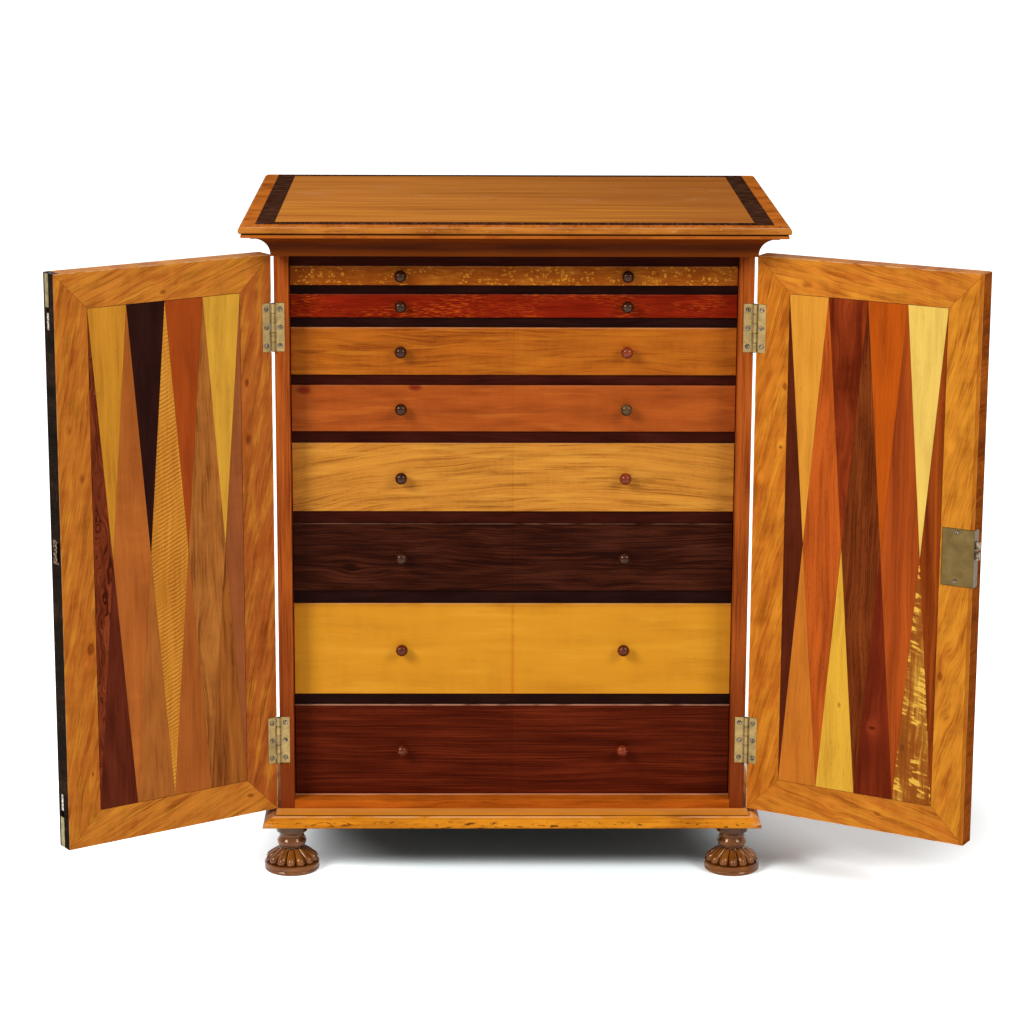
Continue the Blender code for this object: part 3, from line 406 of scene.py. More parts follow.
def pick(piece, kind, wanted):
    """While editing, select only the faces, edges or vertices that are wanted."""
    bpy.ops.mesh.select_mode(type=kind)
    bpy.ops.mesh.select_all(action="DESELECT")
    shape = bmesh.from_edit_mesh(piece.data)
    parts = {"FACE": shape.faces, "EDGE": shape.edges, "VERT": shape.verts}[kind]
    for part in parts:
        if wanted(part):
            part.select_set(True)
    shape.select_flush_mode()
    bmesh.update_edit_mesh(piece.data)


def finish_shape(piece):
    """Face the skin outwards, close the edit and shade the round parts smooth."""
    bpy.ops.mesh.select_mode(type="FACE")
    bpy.ops.mesh.select_all(action="SELECT")
    bpy.ops.mesh.normals_make_consistent(inside=False)
    bpy.ops.object.mode_set(mode="OBJECT")
    bpy.ops.object.shade_smooth_by_angle(angle=SHARP_ANGLE)
    return piece


def only(piece):
    """Make a piece the one that operators work on."""
    nothing_selected()
    piece.select_set(True)
    bpy.context.view_layer.objects.active = piece


def apply_modifier(piece, kind, **settings):
    """Finish a piece with one modifier."""
    only(piece)
    step = piece.modifiers.new(kind.title(), kind)
    for name, value in settings.items():
        setattr(step, name, value)
    bpy.ops.object.modifier_apply(modifier=step.name)


def placed_copy(source, name, matrix):
    """Copy of a finished piece at another place, with a mesh of its own."""
    made = source.copy()
    made.data = source.data.copy()
    made.name = name
    made.data.transform(matrix)
    if matrix.determinant() < 0:
        made.data.flip_normals()
    bpy.context.scene.collection.objects.link(made)
    return made


def joined(pieces, name):
    """Several pieces made one."""
    nothing_selected()
    for piece in pieces:
        piece.select_set(True)
    bpy.context.view_layer.objects.active = pieces[0]
    if len(pieces) > 1:
        bpy.ops.object.join()
    pieces[0].name = name
    return pieces[0]


def discard(piece):
    bpy.data.objects.remove(piece, do_unlink=True)


def settle(piece, body, slot, finish, *replaced):
    """Give a finished piece its material, its body and the nodes that it stands for."""
    if finish is not None:
        piece.data.materials.clear()
        piece.data.materials.append(finish)
    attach(piece, body)
    if replaced:
        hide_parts(*replaced)
    return piece


def repaint(node, finish):
    """Give a node of the model another material."""
    for slot in frame["nodes"][node].material_slots:
        slot.material = finish


def dyed(piece, number_of):
    """While editing, give each face the material whose number a function tells."""
    shape = bmesh.from_edit_mesh(piece.data)
    for face in shape.faces:
        face.material_index = number_of(face)
    bmesh.update_edit_mesh(piece.data)


def quarter(start, end, bulge_first, steps=MOULD_STEPS):
    """Points of a quarter ellipse between two corners of an outline, both ends left out."""
    points = []
    for count in range(1, steps):
        turn = math.pi / 2 * count / steps
        shares = (math.sin(turn), 1 - math.cos(turn)) if bulge_first else (1 - math.cos(turn), math.sin(turn))
        points.append(tuple(a + (b - a) * share for a, b, share in zip(start, end, shares)))
    return points


def moulded_board(name, outline, core_front, back):
    """Board with a moulding run round its front and sides, raised step by step from its underside."""
    projection, level = outline[0]
    front = front_edge - core_front - projection
    board = started(name, bpy.ops.mesh.primitive_plane_add, (middle_x, (front + back) / 2, level),
                    (2 * (half_width + projection), back - front, 1.0))
    for (out_before, low), (out_after, high) in zip(outline, outline[1:]):
        raised(high - low)
        wider = (half_width + out_after) / (half_width + out_before)
        depth_before = back - front_edge + core_front + out_before
        deeper = (depth_before + out_after - out_before) / depth_before
        bpy.ops.transform.resize(value=(wider, deeper, 1.0), center_override=(middle_x, back, high))
    # The back is one flat face
    pick(board, "FACE", lambda face: all(abs(v.co.y - back) < TINY for v in face.verts))
    bpy.ops.mesh.delete(type="ONLY_FACE")
    pick(board, "EDGE", lambda edge: edge.is_boundary)
    bpy.ops.mesh.edge_face_add()
    pick(board, "EDGE", lambda edge: not edge.link_faces)
    bpy.ops.mesh.delete(type="EDGE")
    return finish_shape(board)


def turned_piece(name, rows, sides):
    """Round piece turned on the origin's upright axis, still open for editing; rows are radius and height."""
    radius, level = rows[0]
    nothing_selected()
    bpy.ops.mesh.primitive_circle_add(vertices=sides, radius=radius, fill_type="NGON",
                                      location=(0.0, 0.0, level))
    piece = begin(name)
    for (radius_before, low), (radius_after, high) in zip(rows, rows[1:]):
        raised(high - low)
        share = radius_after / radius_before
        bpy.ops.transform.resize(value=(share, share, 1.0), center_override=(0.0, 0.0, high))
    return piece


# Camera, at the photograph's viewing angle
CAMERA_PLACE = Vector((-0.04757, -3.27125, 1.1273))
CAMERA_YAW = math.radians(0.773)
CAMERA_DOWN = math.radians(13.205)
CAMERA_ROLL = math.radians(0.240)
CAMERA_LENS = 109.84
CAMERA_REACH = (0.05, 60.0)


def make_camera():
    forward = Vector((math.sin(CAMERA_YAW) * math.cos(CAMERA_DOWN),
                      math.cos(CAMERA_YAW) * math.cos(CAMERA_DOWN), -math.sin(CAMERA_DOWN)))
    level_right = Vector((math.cos(CAMERA_YAW), -math.sin(CAMERA_YAW), 0.0))
    level_up = level_right.cross(forward)
    right = math.cos(CAMERA_ROLL) * level_right + math.sin(CAMERA_ROLL) * level_up
    up = math.cos(CAMERA_ROLL) * level_up - math.sin(CAMERA_ROLL) * level_right
    data = bpy.data.cameras.new("camera")
    data.lens = CAMERA_LENS
    data.clip_start, data.clip_end = CAMERA_REACH
    camera = bpy.data.objects.new("camera", data)
    camera.matrix_world = Matrix((right, up, -forward)).transposed().to_4x4()
    camera.location = CAMERA_PLACE
    bpy.context.scene.collection.objects.link(camera)
    bpy.context.scene.camera = camera


# Studio: two softboxes in front above, a white floor and white surroundings
STUDIO_AIM = Vector((0.0, -0.1, 0.38))
LAMP_SIZE = 1.1
KEY_PLACE = Vector((-2.05, -1.75, 2.05))
KEY_POWER = 74.0
FILL_PLACE = Vector((2.05, -1.75, 2.05))
FILL_POWER = 44.0
SURROUND_LIGHT = 0.20
FLOOR_SIZE = 30.0
FLOOR_LIT = (0.8, 0.8, 0.79, 1.0)
FLOOR_SEEN = (1.34, 1.42, 1.42, 1.0)
# Where the floor's shadow lies: away from it the floor glows for camera and gloss rays, a painted light that
# fades the shadow out round the cabinet
SHADOW_MIDDLE = (0.13, 0.06)
SHADOW_REACH = (0.46, 0.37)
SHADOW_FADE = (0.64, 1.20)


def make_lamp(name, place, power):
    data = bpy.data.lights.new(name, "AREA")
    data.shape = "SQUARE"
    data.size = LAMP_SIZE
    data.energy = power
    lamp = bpy.data.objects.new(name, data)
    lamp.location = place
    lamp.rotation_mode = "QUATERNION"
    lamp.rotation_quaternion = (STUDIO_AIM - place).to_track_quat("-Z", "Y")
    bpy.context.scene.collection.objects.link(lamp)


def seen_directly(tree):
    """Socket that is above 0 for rays from the camera, off gloss or through glass."""
    path = tree.nodes.new("ShaderNodeLightPath")
    either = path.outputs["Is Camera Ray"]
    for name in ("Is Glossy Ray", "Is Transmission Ray"):
        largest = tree.nodes.new("ShaderNodeMath")
        largest.operation = "MAXIMUM"
        tree.links.new(either, largest.inputs[0])
        tree.links.new(path.outputs[name], largest.inputs[1])
        either = largest.outputs[0]
    return either


def make_studio():
    make_lamp("softbox_left", KEY_PLACE, KEY_POWER)
    make_lamp("softbox_right", FILL_PLACE, FILL_POWER)
    world = bpy.data.worlds.new("studio")
    bpy.context.scene.world = world
    world.use_nodes = True
    tree = world.node_tree
    background = tree.nodes["Background"]
    level = tree.nodes.new("ShaderNodeMapRange")
    tree.links.new(seen_directly(tree), level.inputs["Value"])
    level.inputs["To Min"].default_value = SURROUND_LIGHT
    level.inputs["To Max"].default_value = 1.0
    tree.links.new(level.outputs[0], background.inputs["Strength"])
    background.inputs["Color"].default_value = (1.0, 1.0, 1.0, 1.0)

    nothing_selected()
    bpy.ops.mesh.primitive_plane_add(size=FLOOR_SIZE, location=(0.0, 0.0, 0.0))
    floor = bpy.context.object
    floor.name = "floor"
    finish = Finish("floor_paper")
    x, y, _ = finish.place()
    aside = (x - SHADOW_MIDDLE[0]) / SHADOW_REACH[0]
    behind = (y - SHADOW_MIDDLE[1]) / SHADOW_REACH[1]
    away = finish.maths("SQRT", aside * aside + behind * behind)
    seen = Amount(finish, seen_directly(finish.tree))
    paper = finish.mix(seen, FLOOR_LIT, FLOOR_SEEN)
    matt = finish.node("ShaderNodeBsdfDiffuse", {}, {"Color": paper})
    # Painted light: the floor glows more the farther it lies from the cabinet
    bright = finish.node("ShaderNodeEmission", {}, {"Strength": seen * away.rise(*SHADOW_FADE)})
    both = finish.node("ShaderNodeAddShader", {}, {0: matt, 1: bright})
    finish.tree.links.new(both.socket, finish.tree.nodes["Material Output"].inputs["Surface"])
    floor.data.materials.append(finish.material)


# Doors
def door_matrix(side):
    """Frame of a door at rest: from its axis to its free edge, out of its inner face, and up."""
    joint = next(j for j in frame["joints"] if j["name"] == f"{side}_door_hinge")
    opened = math.radians(-joint["range_deg"][0])
    hand = 1.0 if side == "left" else -1.0
    run = Vector((hand * math.cos(opened), -math.sin(opened), 0.0))
    inner = Vector((hand * math.sin(opened), math.cos(opened), 0.0))
    matrix = Matrix((run, inner, (0.0, 0.0, 1.0))).transposed().to_4x4()
    matrix.translation = joint["pos_m"]
    return matrix


doors = {side: door_matrix(side) for side in SIDES}
frame_low, frame_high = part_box("door_left_frame")
door_low, door_high = frame_low.z, frame_high.z
panel_low = door_low + DOOR_FRAME_WIDTH
panel_high = door_high - DOOR_FRAME_WIDTH
panel_near = HINGE_OUTSET + DOOR_FRAME_WIDTH
panel_far = DOOR_FREE_EDGE - DOOR_FRAME_WIDTH

# The woods of the parquetry on each door: middle colour, how dark and how pale it goes (or its palest
# colour), and its figure
PLATES = {
    "left": {
        "boxwood": ((218, 160, 52), 0.7, 1.2, dict(lines=0.3, broad=0.35)),
        "mahogany": ((163, 69, 17), 0.7, 1.25, dict(lines=0.35, line_mm=3, broad=0.4, fibre=0.4)),
        "ebony": ((43, 17, 12), 0.55, 1.5, dict(lines=0.4, line_mm=2.5)),
        "satinwood": ((206, 138, 39), 0.7, 1.15, dict(lines=0.4, line_mm=3, broad=0.4, stretch=40)),
        "knotty_olive": ((157, 88, 30), 0.42, 1.35, dict(lines=0.7, flow_mm=10, veins=0.4, vein_mm=8,
            knots=((0.3, 0.052, 0.014, 0.1),))),
        "red_cherry": ((170, 91, 33), 0.65, 1.25, dict(lines=0.4, broad=0.4)),
        "pear": ((171, 98, 38), 0.65, 1.25, dict(lines=0.5, stretch=16, line_mm=3)),
        "dark_mahogany": ((95, 37, 20), 0.6, 1.4, dict(lines=0.5, line_mm=2.2)),
        "mottled_plum": ((154, 84, 41), 0.7, 1.25, dict(lines=0.3, broad=0.5, curl=0.15, curl_mm=7)),
        "walnut": ((172, 103, 41), 0.55, 1.3, dict(lines=0.6, line_mm=2.2, curl=0.12, curl_mm=9, veins=0.3,
            vein_mm=5, knots=((0.262, 0.0745, 0.02, 0.0),))),
        "tiger_maple": ((204, 130, 40), 0.62, (232, 164, 62), dict(stripes=0.27, curl_mm=4.2,
            curl_slant=0.42, lines=0.2, broad=0.3)),
        "cherry": ((177, 96, 36), 0.65, 1.3, dict(lines=0.3, shimmer=0.12, curl_mm=12)),
        "swirled_rosewood": ((122, 52, 25), 0.3, 1.5, dict(lines=0.7, line_mm=2.4, veins=0.9, vein_mm=2.4,
            flow_mm=14, reach_mm=40, knots=((0.335, 0.199, 0.01, 0.1), (0.395, 0.2, 0.007, 0.0)))),
    },
    "right": {
        "pale_satinwood": ((219, 147, 48), 0.7, 1.15, dict(lines=0.3, broad=0.3)),
        "red_mahogany": ((126, 46, 15), 0.5, 1.5, dict(lines=0.5, broad=0.7, curl=0.12, curl_mm=14,
            flow_mm=22, veins=0.2)),
        "orange_mahogany": ((180, 78, 7), 0.65, 1.2, dict(lines=0.5, line_mm=4, broad=0.5, fibre=0.5)),
        "pale_boxwood": ((234, 194, 92), 0.75, 1.12, dict(lines=0.3, line_mm=3, broad=0.3)),
        "cedar": ((198, 114, 34), 0.7, 1.2, dict(lines=0.35, line_mm=3, broad=0.3)),
        "gold_boxwood": ((225, 170, 53), 0.65, 1.2, dict(lines=0.3, broad=0.3,
            knots=((0.1952, 0.1046, 0.004, 0.8),))),
        "dark_cherry": ((109, 36, 13), 0.5, 1.7, dict(lines=0.35, broad=0.5,
            knots=((0.1761, 0.1421, 0.009, -0.5), (0.1761, 0.1421, 0.003, 0.9)))),
        "rippled_gold": ((154, 82, 22), 0.6, (236, 184, 70), dict(lines=0.3, shimmer=0.85, curl_mm=3.6,
            curl=0.12, curl_slant=0.25, knots=((0.16, 0.176, 0.004, 0.8),))),
        "chequered_plum": ((84, 31, 12), 0.5, 1.4, dict(lines=0.4, line_mm=2.2, stripes=0.22, curl_mm=3.2,
            curl_slant=0.8)),
        "padauk": ((185, 84, 22), 0.55, 1.3, dict(lines=0.6, line_mm=4, pores=0.25, pore_mm=(5, 0.6),
            knots=((0.322, 0.101, 0.006, 0.7),))),
        "dark_walnut": ((117, 52, 17), 0.5, 1.45, dict(lines=0.6, line_mm=3, veins=0.3, vein_mm=5,
            pores=0.4)),
        "sapele": ((164, 70, 17), 0.6, 1.35, dict(lines=0.6, line_mm=3.4, broad=0.5, stretch=60)),
        "striped_sapele": ((140, 60, 15), 0.5, 1.5, dict(lines=0.8, line_mm=4.5, stretch=60)),
    },
}
# Which wood each plate is, from the hinge to the free edge
PLATE_ORDER = {
    "left": {
        "top": ("boxwood", "mahogany", "ebony", "satinwood"),
        "bottom": ("knotty_olive", "red_cherry", "pear", "dark_mahogany"),
        "diamond": ("mottled_plum", "walnut", "tiger_maple", "cherry", "swirled_rosewood"),
    },
    "right": {
        "top": ("pale_satinwood", "red_mahogany", "orange_mahogany", "pale_boxwood"),
        "bottom": ("cedar", "gold_boxwood", "dark_cherry", "rippled_gold"),
        "diamond": ("chequered_plum", "padauk", "dark_walnut", "sapele", "striped_sapele"),
    },
}


def plate_wood(side, name):
    """Material of one parquetry wood, its grain upright on the door."""
    colour, dark, pale, figure = PLATES[side][name]
    finish = Finish(f"parquetry_{side}_{name}")
    run, out, up = finish.place(doors[side])
    seed = sum(map(ord, name)) * 0.37 % 50
    shade, pores = grain(finish, up, run, out, **{"seed": seed, **figure})
    return finish.surface(shade.tint(colour, dark, pale), 0.34 + pores * PORE_DULLNESS, shade, 0.04,
                          Specular_IOR_Level=0.05 if max(colour) > 150 else 0.02)


def plate_of(face):
    """Which plate a face of the parquetry is: its kind and its number from the hinge."""
    place = face.calc_center_median()
    share = (place.x - panel_near) / (panel_far - panel_near) * COLUMNS
    height = (place.z - panel_low) / (panel_high - panel_low)
    column = min(int(share + TINY), COLUMNS - 1)
    across = share - column
    if height > max(across, 1 - across):
        return "top", column
    if height < min(across, 1 - across):
        return "bottom", column
    return "diamond", column if across < 0.5 else column + 1


def make_parquetry(side):
    """Thin plates of many woods, sawn from one sheet along crossing lines, on the door's panel."""
    level = PLATE_THICKNESS + PLATE_LIFT - DOOR_HALF_GAP - PANEL_RECESS
    margin = SEAT_GAP + PLATE_MARGIN
    middle = ((panel_near + panel_far) / 2, level, (panel_low + panel_high) / 2)
    size = (panel_far - panel_near - 2 * margin, 1.0, panel_high - panel_low - 2 * margin)
    sheet = started(f"parquetry_{side}", bpy.ops.mesh.primitive_plane_add, middle, size,
                    rotation=(-math.pi / 2, 0.0, 0.0))
    width = (panel_far - panel_near) / COLUMNS
    for column in range(COLUMNS):
        start = panel_near + width * column
        for top, bottom in ((start, start + width), (start + width, start)):
            bpy.ops.mesh.select_all(action="SELECT")
            slope = Vector((panel_high - panel_low, 0.0, bottom - top))
            bpy.ops.mesh.bisect(plane_co=(top, level, panel_high), plane_no=slope.normalized())
    order = PLATE_ORDER[side]
    names = sorted(set(sum(order.values(), ())))
    for name in names:
        sheet.data.materials.append(plate_wood(side, name))

    def wood_number(face):
        kind, number = plate_of(face)
        return names.index(order[kind][number])

    dyed(sheet, wood_number)
    pick(sheet, "FACE", lambda face: True)
    bpy.ops.mesh.inset(thickness=PLATE_JOINT, use_individual=True)
    bpy.ops.mesh.select_all(action="INVERT")
    bpy.ops.mesh.delete(type="FACE")
    bpy.ops.object.mode_set(mode="OBJECT")
    apply_modifier(sheet, "SOLIDIFY", thickness=PLATE_THICKNESS, offset=-1.0)
    apply_modifier(sheet, "BEVEL", width=PLATE_CHAMFER, segments=1, limit_method="ANGLE")
    sheet.data.transform(doors[side])
    if doors[side].determinant() < 0:
        sheet.data.flip_normals()
    settle(sheet, f"{side}_door", "door_parquetry", None)


# Lean of the streaks on the stiles and on the rails, and the knots: place along and across the member
FRAME_LEAN = {"left": (-0.22, -0.36), "right": (0.26, -0.20)}
FRAME_KNOTS = {
    "left": ((0.4496, 0.2201, 0.0065, 0.35), (0.5006, 0.2327, 0.0065, 0.25), (0.5266, 0.031, 0.0055, 0.8),
        (0.4672, 0.0303, 0.007, 0.8), (0.2739, 0.2154, 0.0075, 1.2), (0.258, 0.22, 0.006, -0.4),
        (0.1257, 0.6287, 0.0045, 0.6), (0.0345, 0.086, 0.0045, 1.0), (0.142, 0.217, 0.003, 0.7)),
    "right": ((0.5234, 0.0348, 0.005, 0.8), (0.4657, 0.0318, 0.006, -0.4), (0.46, 0.0318, 0.003, 0.7),
        (0.4264, 0.0102, 0.0055, -0.5), (0.4813, 0.216, 0.009, -0.5), (0.2414, 0.2144, 0.005, 0.9),
        (0.27, 0.223, 0.011, 0.1), (0.2, 0.222, 0.012, 0.1), (0.186, 0.211, 0.003, 0.8),
        (0.056, 0.63, 0.008, 0.3), (0.1, 0.085, 0.009, 0.2), (0.15, 0.084, 0.006, 0.3)),
}
# Tone of the stile at the hinge, of the stile at the free edge and of the rails
FRAME_COLOURS = {
    "left": ((180, 97, 38), (196, 114, 39), (206, 126, 44)),
    "right": ((200, 116, 33), (210, 131, 38), (206, 123, 39)),
}
FRAME_FIGURE = dict(line_mm=2.0, stretch=24, lines=0.34, broad=0.30, flow_mm=6, reach_mm=60, fibre=0.50,
                    pores=0.13, pore_mm=(12.0, 0.7), veins=0.22, vein_mm=6.0, curl=0.12, curl_mm=9)
# The meeting edges: black on the left door, brown behind a lipping on the right one
BLACK_EDGE = [paint(12, 8, 5), paint(30, 22, 16), paint(70, 50, 34)]
BROWN_EDGE = [paint(84, 34, 6), paint(144, 70, 14), paint(180, 98, 32)]
LIPPING_WIDTH = 0.0042
SLOT_REACH = 0.008
TORN_HEIGHT = (0.3640, 0.3880)
TORN_DEPTH = (-0.017, -0.006)


def frame_wood(side):
    """Mitred frame of a door in golden, streaky, knotty wood, with its own meeting edge."""
    finish = Finish(f"door_frame_{side}")
    run, out, up = finish.place(doors[side])
    from_side = smaller(run - HINGE_OUTSET, DOOR_FREE_EDGE - run)
    from_end = smaller(up - door_low, door_high - up)
    gap = from_side - from_end
    upright = gap.fall(-MITRE_LINE, MITRE_LINE)
    mitre = abs(gap).fall(0.0001, 0.0006)
    along = finish.between(upright, run, up)
    across = finish.between(upright, up, run)
    across, hearts = part_round_knots(finish, along, across, FRAME_KNOTS[side])
    stile_lean, rail_lean = FRAME_LEAN[side]
    across = across - along * finish.between(upright, rail_lean, stile_lean)
    shade, pores = grain(finish, along, across, out, **FRAME_FIGURE, seed=4.0 if side == "left" else 11.0)
    shade = shade - hearts
    at_hinge, at_free_edge, on_rails = (paint(*tone) for tone in FRAME_COLOURS[side])
    tone = finish.mix(run.rise(0.08, 0.16), at_hinge, at_free_edge)
    tone = finish.mix(upright, on_rails, tone)
    contrast = shade.tint(WHITE, 0.52, 1.22)
    patch = finish.noise((along / 0.040, across / 0.008, 5.5), 2.0, 0.55)
    tone = tone.stain(patch.rise(0.50, 0.70) * 0.36, 232, 160, 48)
    tone = tone.stain(patch.fall(0.32, 0.46) * 0.45, 168, 76, 24)
    colour = finish.mix(1.0, tone, contrast, "MULTIPLY")
    colour = colour.stain(mitre * 0.55, 96, 40, 14)
    rubbed = finish.noise((along / 0.02, across / 0.004, 2.2), 3.0)
    arris = smaller(from_side, from_end).fall(0.0003, 0.0010)
    arris = arris * out.rise(-DOOR_HALF_GAP - 0.0016, -DOOR_HALF_GAP - 0.0006)
    colour = colour.stain(arris * rubbed.rise(0.38, 0.60) * 0.7, 240, 186, 130)
    edge = run.rise(DOOR_FREE_EDGE - 0.0004, DOOR_FREE_EDGE - 0.0001)
    if side == "left":
        slot = run.rise(DOOR_FREE_EDGE - SLOT_REACH, DOOR_FREE_EDGE - SLOT_REACH + 0.0002)
        slot = slot * out.fall(-DOOR_HALF_GAP - 0.0006, -DOOR_HALF_GAP - 0.0003)
        colour = finish.mix(larger(edge, slot), colour, shade.ramp(WOOD_STOPS, BLACK_EDGE))
        torn = up.band(*TORN_HEIGHT, 0.0010) * out.band(*TORN_DEPTH, 0.001)
        ragged = finish.noise((run / 0.003, out / 0.003, up / 0.003), 3.0)
        torn = torn * edge * ragged.rise(0.44, 0.56)
        colour = colour.stain(torn, 150, 124, 104)
    else:
        joint = DOOR_FREE_EDGE - LIPPING_WIDTH
        lipping = run.rise(joint, joint + 0.0003)
        line = run.band(joint - 0.0002, joint + 0.0002, 0.0002)
        colour = colour.stain(lipping * 0.5, 150, 72, 16)
        colour = colour.stain(line * 0.45, 80, 32, 8)
        colour = finish.mix(edge, colour, shade.ramp(WOOD_STOPS, BROWN_EDGE))
    return finish.surface(colour, WAX + pores * PORE_DULLNESS + edge * 0.4, shade, LINES_FELT_MM,
                          Specular_IOR_Level=0.01)


def panel_back_wood(side):
    """Plain outer face of a door's panel."""
    finish = Finish(f"door_panel_{side}")
    run, out, up = finish.place(doors[side])
    shade, pores = grain(finish, up, run, out, lines=0.6, flow_mm=14, veins=0.3, vein_mm=12, seed=6.5)
    colour = shade.tint((160, 86, 32), 0.5, 1.35).stain(out.rise(-0.006, -0.004), 52, 24, 12)
    return finish.waxed(colour, shade, pores, 0.12, 0.4)


# Woods of the carcass
def rail_wood(name, colour, pale, seed):
    """Dark wood of a rail, its grain from side to side."""
    finish = Finish(f"rail_wood_{name}")
    x, y, z = finish.place()
    shade, pores = grain(finish, x, z, y, line_mm=2.4, seed=seed)
    return finish.waxed(shade.tint(colour, 0.45, pale), shade, pores, 0.02)


def side_wood(name, seed):
    """Side of the carcass: orange-brown, redder towards its foot."""
    low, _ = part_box(name)
    finish = Finish(f"{name}_wood")
    x, y, z = finish.place()
    shade, pores = grain(finish, z, x + y, x, lines=0.55, line_mm=2.4, stretch=48, broad=0.5, flow_mm=4,
                         fibre=0.55, pores=0.12, pore_mm=(14.0, 0.8), veins=0.35, vein_mm=4.0, seed=seed)
    foot = z.fall(low.z - 0.02, low.z + 0.30)
    colour = shade.tint((160, 76, 24), 0.5, 1.4).stain(foot * 0.7, 106, 38, 12)
    return finish.waxed(colour, shade, pores, 0.04)


def bottom_board_wood():
    """Board under the lowest drawer, with a pale and wavy front arris, partly worn and partly a painted
    highlight.
    """
    finish = Finish("bottom_board_wood")
    x, y, z = finish.place()
    shade, pores = grain(finish, x, z, y, line_mm=3, lines=0.5, broad=0.5, seed=3.0)
    wave = finish.noise((x / 0.022, 0.4, 1.1), 3.0)
    # Pale arris: rubbed wear and a painted highlight
    arris = (y + wave * 0.005).rise(drawer_face - 0.0012, drawer_face + 0.0004)
    colour = shade.tint((178, 90, 20), 0.5, 1.35).stain(arris * 0.7, 226, 162, 126)
    return finish.waxed(colour, shade, pores, 0.02, 0.45)


def back_wood():
    """Upright back boards, each from a plank of its own, with dirt in their joints."""
    low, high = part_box("back_panel")
    width = (high.x - low.x) / BACK_BOARDS
    finish = Finish("back_board_wood")
    x, y, z = finish.place()
    share = (x - low.x) / width
    board = finish.maths("FLOOR", share)
    shade, pores = grain(finish, z + board * 0.9, x + board * 0.2, y, line_mm=9, flow_mm=16, lines=0.7,
                         seed=5.0)
    middle = finish.mix(board / (BACK_BOARDS - 1), paint(146, 95, 56), paint(130, 82, 46))
    colour = finish.mix(1.0, middle, shade.tint(WHITE, 0.5, 1.3), "MULTIPLY")
    from_joint = abs(share - finish.maths("ROUND", share)) * width
    between_boards = x.band(low.x + width / 2, high.x - width / 2, 0.001)
    colour = colour.stain(from_joint.fall(0.0004, 0.0014) * between_boards * 0.8, 40, 24, 14)
    return finish.waxed(colour, shade, pores, 0.15, 0.6)


RED_RAILS = ("carcass_top", "top_rail", "divider_3", "divider_4", "divider_5")


def dress_carcass():
    repaint("side_left", side_wood("side_left", 1.0))
    repaint("side_right", side_wood("side_right", 2.0))
    repaint("carcass_bottom", bottom_board_wood())
    dark = rail_wood("dark", (30, 9, 6), 1.8, 4.0)
    red = rail_wood("red", (54, 16, 8), 1.6, 4.5)
    for name in ("carcass_top", "top_rail", *(f"divider_{n}" for n in range(1, DRAWER_COUNT))):
        repaint(name, red if name in RED_RAILS else dark)
    repaint("back_panel", back_wood())


# Top board, cornice and base
def top_outline(bottom, top):
    fillet = TOP_PROJECTION - TOP_FILLET_INSET
    quirk = TOP_PROJECTION - TOP_QUIRK_DEPTH
    thumb_low = top - THUMB_HEIGHT
    tuck = (TOP_PROJECTION - THUMB_TUCK, thumb_low)
    widest = (TOP_PROJECTION, top - THUMB_DROP)
    crown = (TOP_PROJECTION - THUMB_RUN, top)
    return [(fillet, bottom), (fillet, thumb_low - TOP_QUIRK_HEIGHT), (quirk, thumb_low - TOP_QUIRK_HEIGHT),
            (quirk, thumb_low), tuck, *quarter(tuck, widest, True, 6), widest,
            *quarter(widest, crown, False), crown]


# Inlay of the top board, counted from its edges
BORDER_SIDE = 0.0163
BORDER_FRONT = 0.0167
BAND_SIDE = 0.0353
BAND_FRONT = 0.0362
BAND_BACK = 0.0143
TOP_KNOTS = ((-0.1128, 0.0964, 0.0030, 0.7), (-0.0490, 0.0562, 0.0040, 0.6), (-0.0234, 0.0404, 0.0045, 0.8),
             (0.0328, 0.1245, 0.0050, 0.5), (0.0369, 0.0253, 0.0030, 0.5))


def inlay(from_side, from_front, side, front):
    """1 inside a border of the top board, counted from its side and front edges."""
    return from_side.rise(side - CUT_LINE, side) * from_front.rise(front - CUT_LINE, front)


def top_field(finish, x, y, z):
    """Golden field of the top board, with painted shade that makes it darker and redder to the right, glowing
    at the front, smudged at the back and with a painted sheen there.
    """
    shade, pores = grain(finish, x, y, z, lines=0.45, line_mm=4.5, stretch=60, flow_mm=8, broad=0.4,
                         fibre=0.6, pores=0.12, knots=TOP_KNOTS, seed=2.5)
    colour = shade.tint((205, 126, 53), 0.6, 1.25)
    # Painted shade: darker and redder to the right, where less light falls
    colour = colour.stain((x - middle_x).rise(-0.12, 0.22) * 0.55, 168, 94, 40)
    glow = finish.noise((x / 0.16, y / 0.012, 3.3), 1.0).rise(0.50, 0.72) * y.fall(-0.03, 0.04)
    colour = colour.stain(glow * 0.6, 222, 146, 50)
    # Pale patches at the back: smudges, and a painted sheen that stands in for the polish's reflection
    smudge_and_sheen = finish.noise((x / 0.05, y / 0.03, 7.3), 3.0, 0.6).rise(0.56, 0.70) * y.band(0.02, 0.16, 0.03)
    return colour.stain(smudge_and_sheen * 0.22, 214, 160, 120), shade, pores


